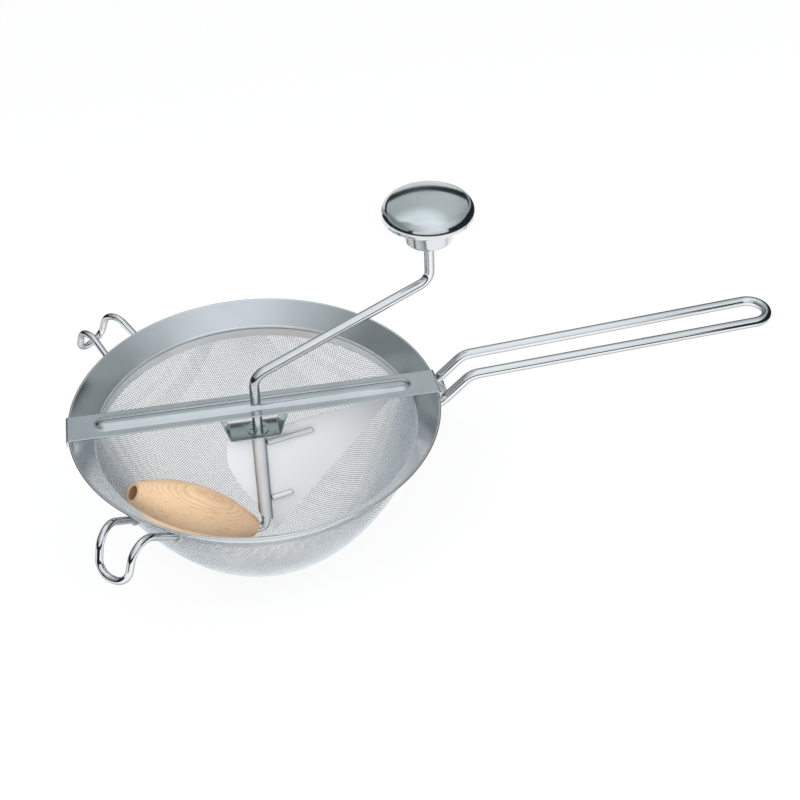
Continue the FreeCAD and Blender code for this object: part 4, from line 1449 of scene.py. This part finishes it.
@dataclass
class Cove:
    """The pale and grey dome that only polished metal sees.

    It is brightest in one way, pale low at the front, straight overhead and in a crown behind that,
    and grey elsewhere. A way is a unit vector, X to the right, Y to the back and Z up, and the ends
    are the parts of its numbers over which each area comes in.
    """

    radius: float = 3000.0
    bright_way: Place = (0.0, -0.52, 0.854)
    bright_from: float = 0.48
    bright_power: float = 1.35
    pale_level: float = 0.53
    front_ends: Point = (-0.85, -0.5)
    top_ends: Point = (0.87, 0.97)
    crown_ends: Point = (0.74, 0.93)
    crown_back_ends: Point = (0.08, 0.35)
    crown_share: float = 0.75
    crown_lean: float = 0.2
    back_level: float = 0.17
    back_width_ends: Point = (0.4, 0.65)
    back_height_ends: Point = (0.25, 0.5)
    back_depth_ends: Point = (0.1, 0.5)
    side_ends: Point = (-0.5, 0.3)
    side_levels: Point = (0.25, 0.38)
    bright_tone: Colour = colour(0.96, 1.0, 1.04)
    grey_tone: Colour = colour(0.93, 1.02, 1.04)
    flats: tuple[int, int] = (64, 32)

    def pale(self, sheet: Sheet, way: Sequence[Socket], key: Socket) -> Socket:
        """Return how pale the cove is in a way.

        Args:
            sheet: the material's nodes.
            way: the way's three numbers.
            key: how near it is to the bright way, from 0 to 1.

        Returns:
            A number from 0 to 1.
        """
        x, y, z = way
        front = sheet.spread(y, *self.front_ends, 1.0, 0.0, smooth=True)
        top = sheet.spread(z, *self.top_ends, 0.0, 1.0, smooth=True)
        leaning = sheet.math("SUBTRACT", z, sheet.math("MULTIPLY", x, self.crown_lean))
        crown = sheet.math(
            "MULTIPLY", sheet.spread(leaning, *self.crown_ends, 0.0, self.crown_share, smooth=True),
            sheet.spread(y, *self.crown_back_ends, 0.0, 1.0, smooth=True))
        return sheet.math("MAXIMUM", sheet.math("MAXIMUM", key, crown), sheet.math("MAXIMUM", front, top))

    def back(self, sheet: Sheet, way: Sequence[Socket]) -> Socket:
        """Return the light of the cove's upper back.

        Args:
            sheet: the material's nodes.
            way: the way's three numbers.

        Returns:
            A number from 0 to the cove's back level.
        """
        x, y, z = way
        middle = sheet.spread(sheet.math("ABSOLUTE", x), *self.back_width_ends, self.back_level, 0.0,
                              smooth=True)
        high = sheet.spread(z, *self.back_height_ends, 0.0, 1.0, smooth=True)
        deep = sheet.spread(y, *self.back_depth_ends, 0.0, 1.0, smooth=True)
        return sheet.math("MULTIPLY", deep, sheet.math("MULTIPLY", middle, high))

    def build(self) -> None:
        """Hang the cove."""
        shape = bmesh.new()
        round_flats, upright_flats = self.flats
        bmesh.ops.create_uvsphere(shape, u_segments=round_flats, v_segments=upright_flats,
                                  radius=self.radius * MM)
        bmesh.ops.reverse_faces(shape, faces=shape.faces)
        sheet, material = blank_material("cove_cloth")
        way = sheet.vector("NORMALIZE", sheet.coordinate("Object"))
        parts = sheet.split(way)
        towards = sheet.vector("DOT_PRODUCT", way, Vector(self.bright_way).normalized(), output="Value")
        key = sheet.math("POWER", sheet.spread(towards, self.bright_from, 1.0, 0.0, 1.0), self.bright_power)
        side = sheet.spread(parts[0], *self.side_ends, *self.side_levels, smooth=True)
        pale = sheet.math("MULTIPLY", self.pale(sheet, parts, key), self.pale_level)
        level = sheet.math("ADD", sheet.math("ADD", pale, self.back(sheet, parts)), side)
        tone = sheet.blend(key, self.grey_tone, self.bright_tone)
        glow = sheet.add("ShaderNodeEmission", {"Color": tone, "Strength": level})
        sheet.end("ShaderNodeOutputMaterial", glow.outputs[0])
        only_mirrored(stage_piece("cove", shape, material))


@dataclass
class Flags:
    """A ring of cloth flags round the table, which gives polished metal its dark and pale lines."""

    radius: float = 600.0
    top: float = 335.0
    bottom: float = -98.6
    flats: int = 96

    def build(self) -> None:
        """Stand the flags up."""
        shape = cylinder(self.radius, self.top, self.bottom, self.flats, capped=False)
        bmesh.ops.reverse_faces(shape, faces=shape.faces)
        sheet, material = blank_material("flag_cloth")
        x, y, z = sheet.split(sheet.coordinate("Object"))
        heading = sheet.math("DEGREES", sheet.math("ARCTAN2", x, y))
        height = sheet.math("DIVIDE", z, MM)
        tone: object = DARK_CLOTH
        for patch in PATCHES:
            tone = sheet.blend(patch.share(sheet, heading, height), tone, patch.tone)
        glow = sheet.add("ShaderNodeEmission", {"Color": tone, "Strength": 1.0})
        sheet.end("ShaderNodeOutputMaterial", glow.outputs[0])
        only_mirrored(stage_piece("flags", shape, material))


@dataclass
class Studio:
    """Pale floor, soft lamps, the cove and flags that polished metal reflects, and the camera."""

    floor_height: float = -98.6
    floor_half: float = 6000.0
    floor_own: float = 0.85
    floor_tone: Colour = colour(0.92, 0.925, 0.925)
    soft_light: float = 0.75
    soft_tone: Colour = colour(0.97, 0.985, 1.0)
    eye: Place = (-34.9, -541.0, 451.8)
    look: Place = (0.1588, 0.7511, -0.6409)
    lens: float = 58.5
    film: float = 36.0
    sight: Point = (10.0, 50000.0)

    def camera(self) -> None:
        """Set up the camera."""
        data = bpy.data.cameras.new("camera")
        data.lens = self.lens
        data.sensor_width = self.film
        data.clip_start, data.clip_end = (distance * MM for distance in self.sight)
        camera = placed("camera", data)
        camera.location = Vector(self.eye) * MM
        camera.rotation_mode = "QUATERNION"
        camera.rotation_quaternion = Vector(self.look).to_track_quat("-Z", "Y")
        bpy.context.scene.camera = camera

    def floor(self) -> None:
        """Lay the floor: white where it is seen or mirrored, with part of its light its own."""
        shape = bmesh.new()
        bmesh.ops.create_grid(shape, x_segments=1, y_segments=1, size=self.floor_half * MM)
        sheet, material = blank_material("pale_floor")
        plain = sheet.add("ShaderNodeBsdfDiffuse", {"Color": self.floor_tone}).outputs[0]
        own = sheet.add("ShaderNodeEmission", {"Color": WHITE, "Strength": 1.0}).outputs[0]
        share = sheet.math("MULTIPLY", seen_rays(sheet), self.floor_own)
        mix = sheet.add("ShaderNodeMixShader", {0: share, 1: plain, 2: own})
        sheet.end("ShaderNodeOutputMaterial", mix.outputs[0])
        floor = stage_piece("floor", shape, material)
        floor.location = (0.0, 0.0, self.floor_height * MM)

    def world(self) -> None:
        """Set the world: white where it is seen, an even soft light otherwise."""
        world = bpy.data.worlds.new("studio")
        bpy.context.scene.world = world
        world.use_nodes = True
        sheet = Sheet(world.node_tree)
        white = sheet.add("ShaderNodeBackground", {"Color": WHITE, "Strength": 1.0})
        soft = sheet.add("ShaderNodeBackground", {"Color": self.soft_tone, "Strength": self.soft_light})
        mix = sheet.add("ShaderNodeMixShader", {0: seen_rays(sheet), 1: soft.outputs[0], 2: white.outputs[0]})
        sheet.end("ShaderNodeOutputWorld", mix.outputs[0])

    def build(self) -> None:
        """Set up everything around the object."""
        self.camera()
        self.floor()
        Cove().build()
        Flags(bottom=self.floor_height).build()
        self.world()
        for lamp in LAMPS:
            lamp.hang()
        bpy.context.scene.view_settings.view_transform = "Standard"


# ---------------------------------------------------------------------------------------------
# main
# ---------------------------------------------------------------------------------------------

def main() -> None:
    """Build the strainer's looks in order."""
    logging.basicConfig(level=logging.INFO, format="%(name)s %(message)s")
    satin, wire, bearing, knob = SATIN.make(), WIRE.make(), BEARING.make(), KNOB.make()
    Collar().build(satin, POLISHED.make(), wire)
    WovenBowl().build(CLOTH.make())
    Crossbar().build(STRAP.make(), bearing)
    upright = Vector(GRIP["axis"]).to_track_quat("Z", "X").to_matrix().to_4x4()
    KnobCap().build(knob, Matrix.Translation(Vector(GRIP["pos_m"])) @ upright)
    dress({
        "satin sheet": (satin, ["clamp_band"]),
        "polished wire": (wire, ["handle_loop", "rest_hook_front", "rest_hook_back", "crank_rod"]),
        "weld": (WELD.make(), ["handle_welds", "hook_welds"]),
        "bearing steel": (bearing, ["retaining_washer", "roller_foot_washer", "knob_push_nut"]),
        "dark steel": (DARK.make(), ["roller_end_nut"]),
        "blade": (BLADE.make(), ["blade_wing_long", "blade_wing_short"]),
        "sleeve": (SLEEVE.make(), ["blade_sleeve", "stir_pin_upper", "stir_pin_lower"]),
        "knob": (knob, ["knob_cup"]),
        "brass": (BRASS.make(), ["knob_bush"]),
        "beech": (BEECH.make(), ["roller"]),
    })
    Studio().build()


if __name__ == "__main__":
    main()
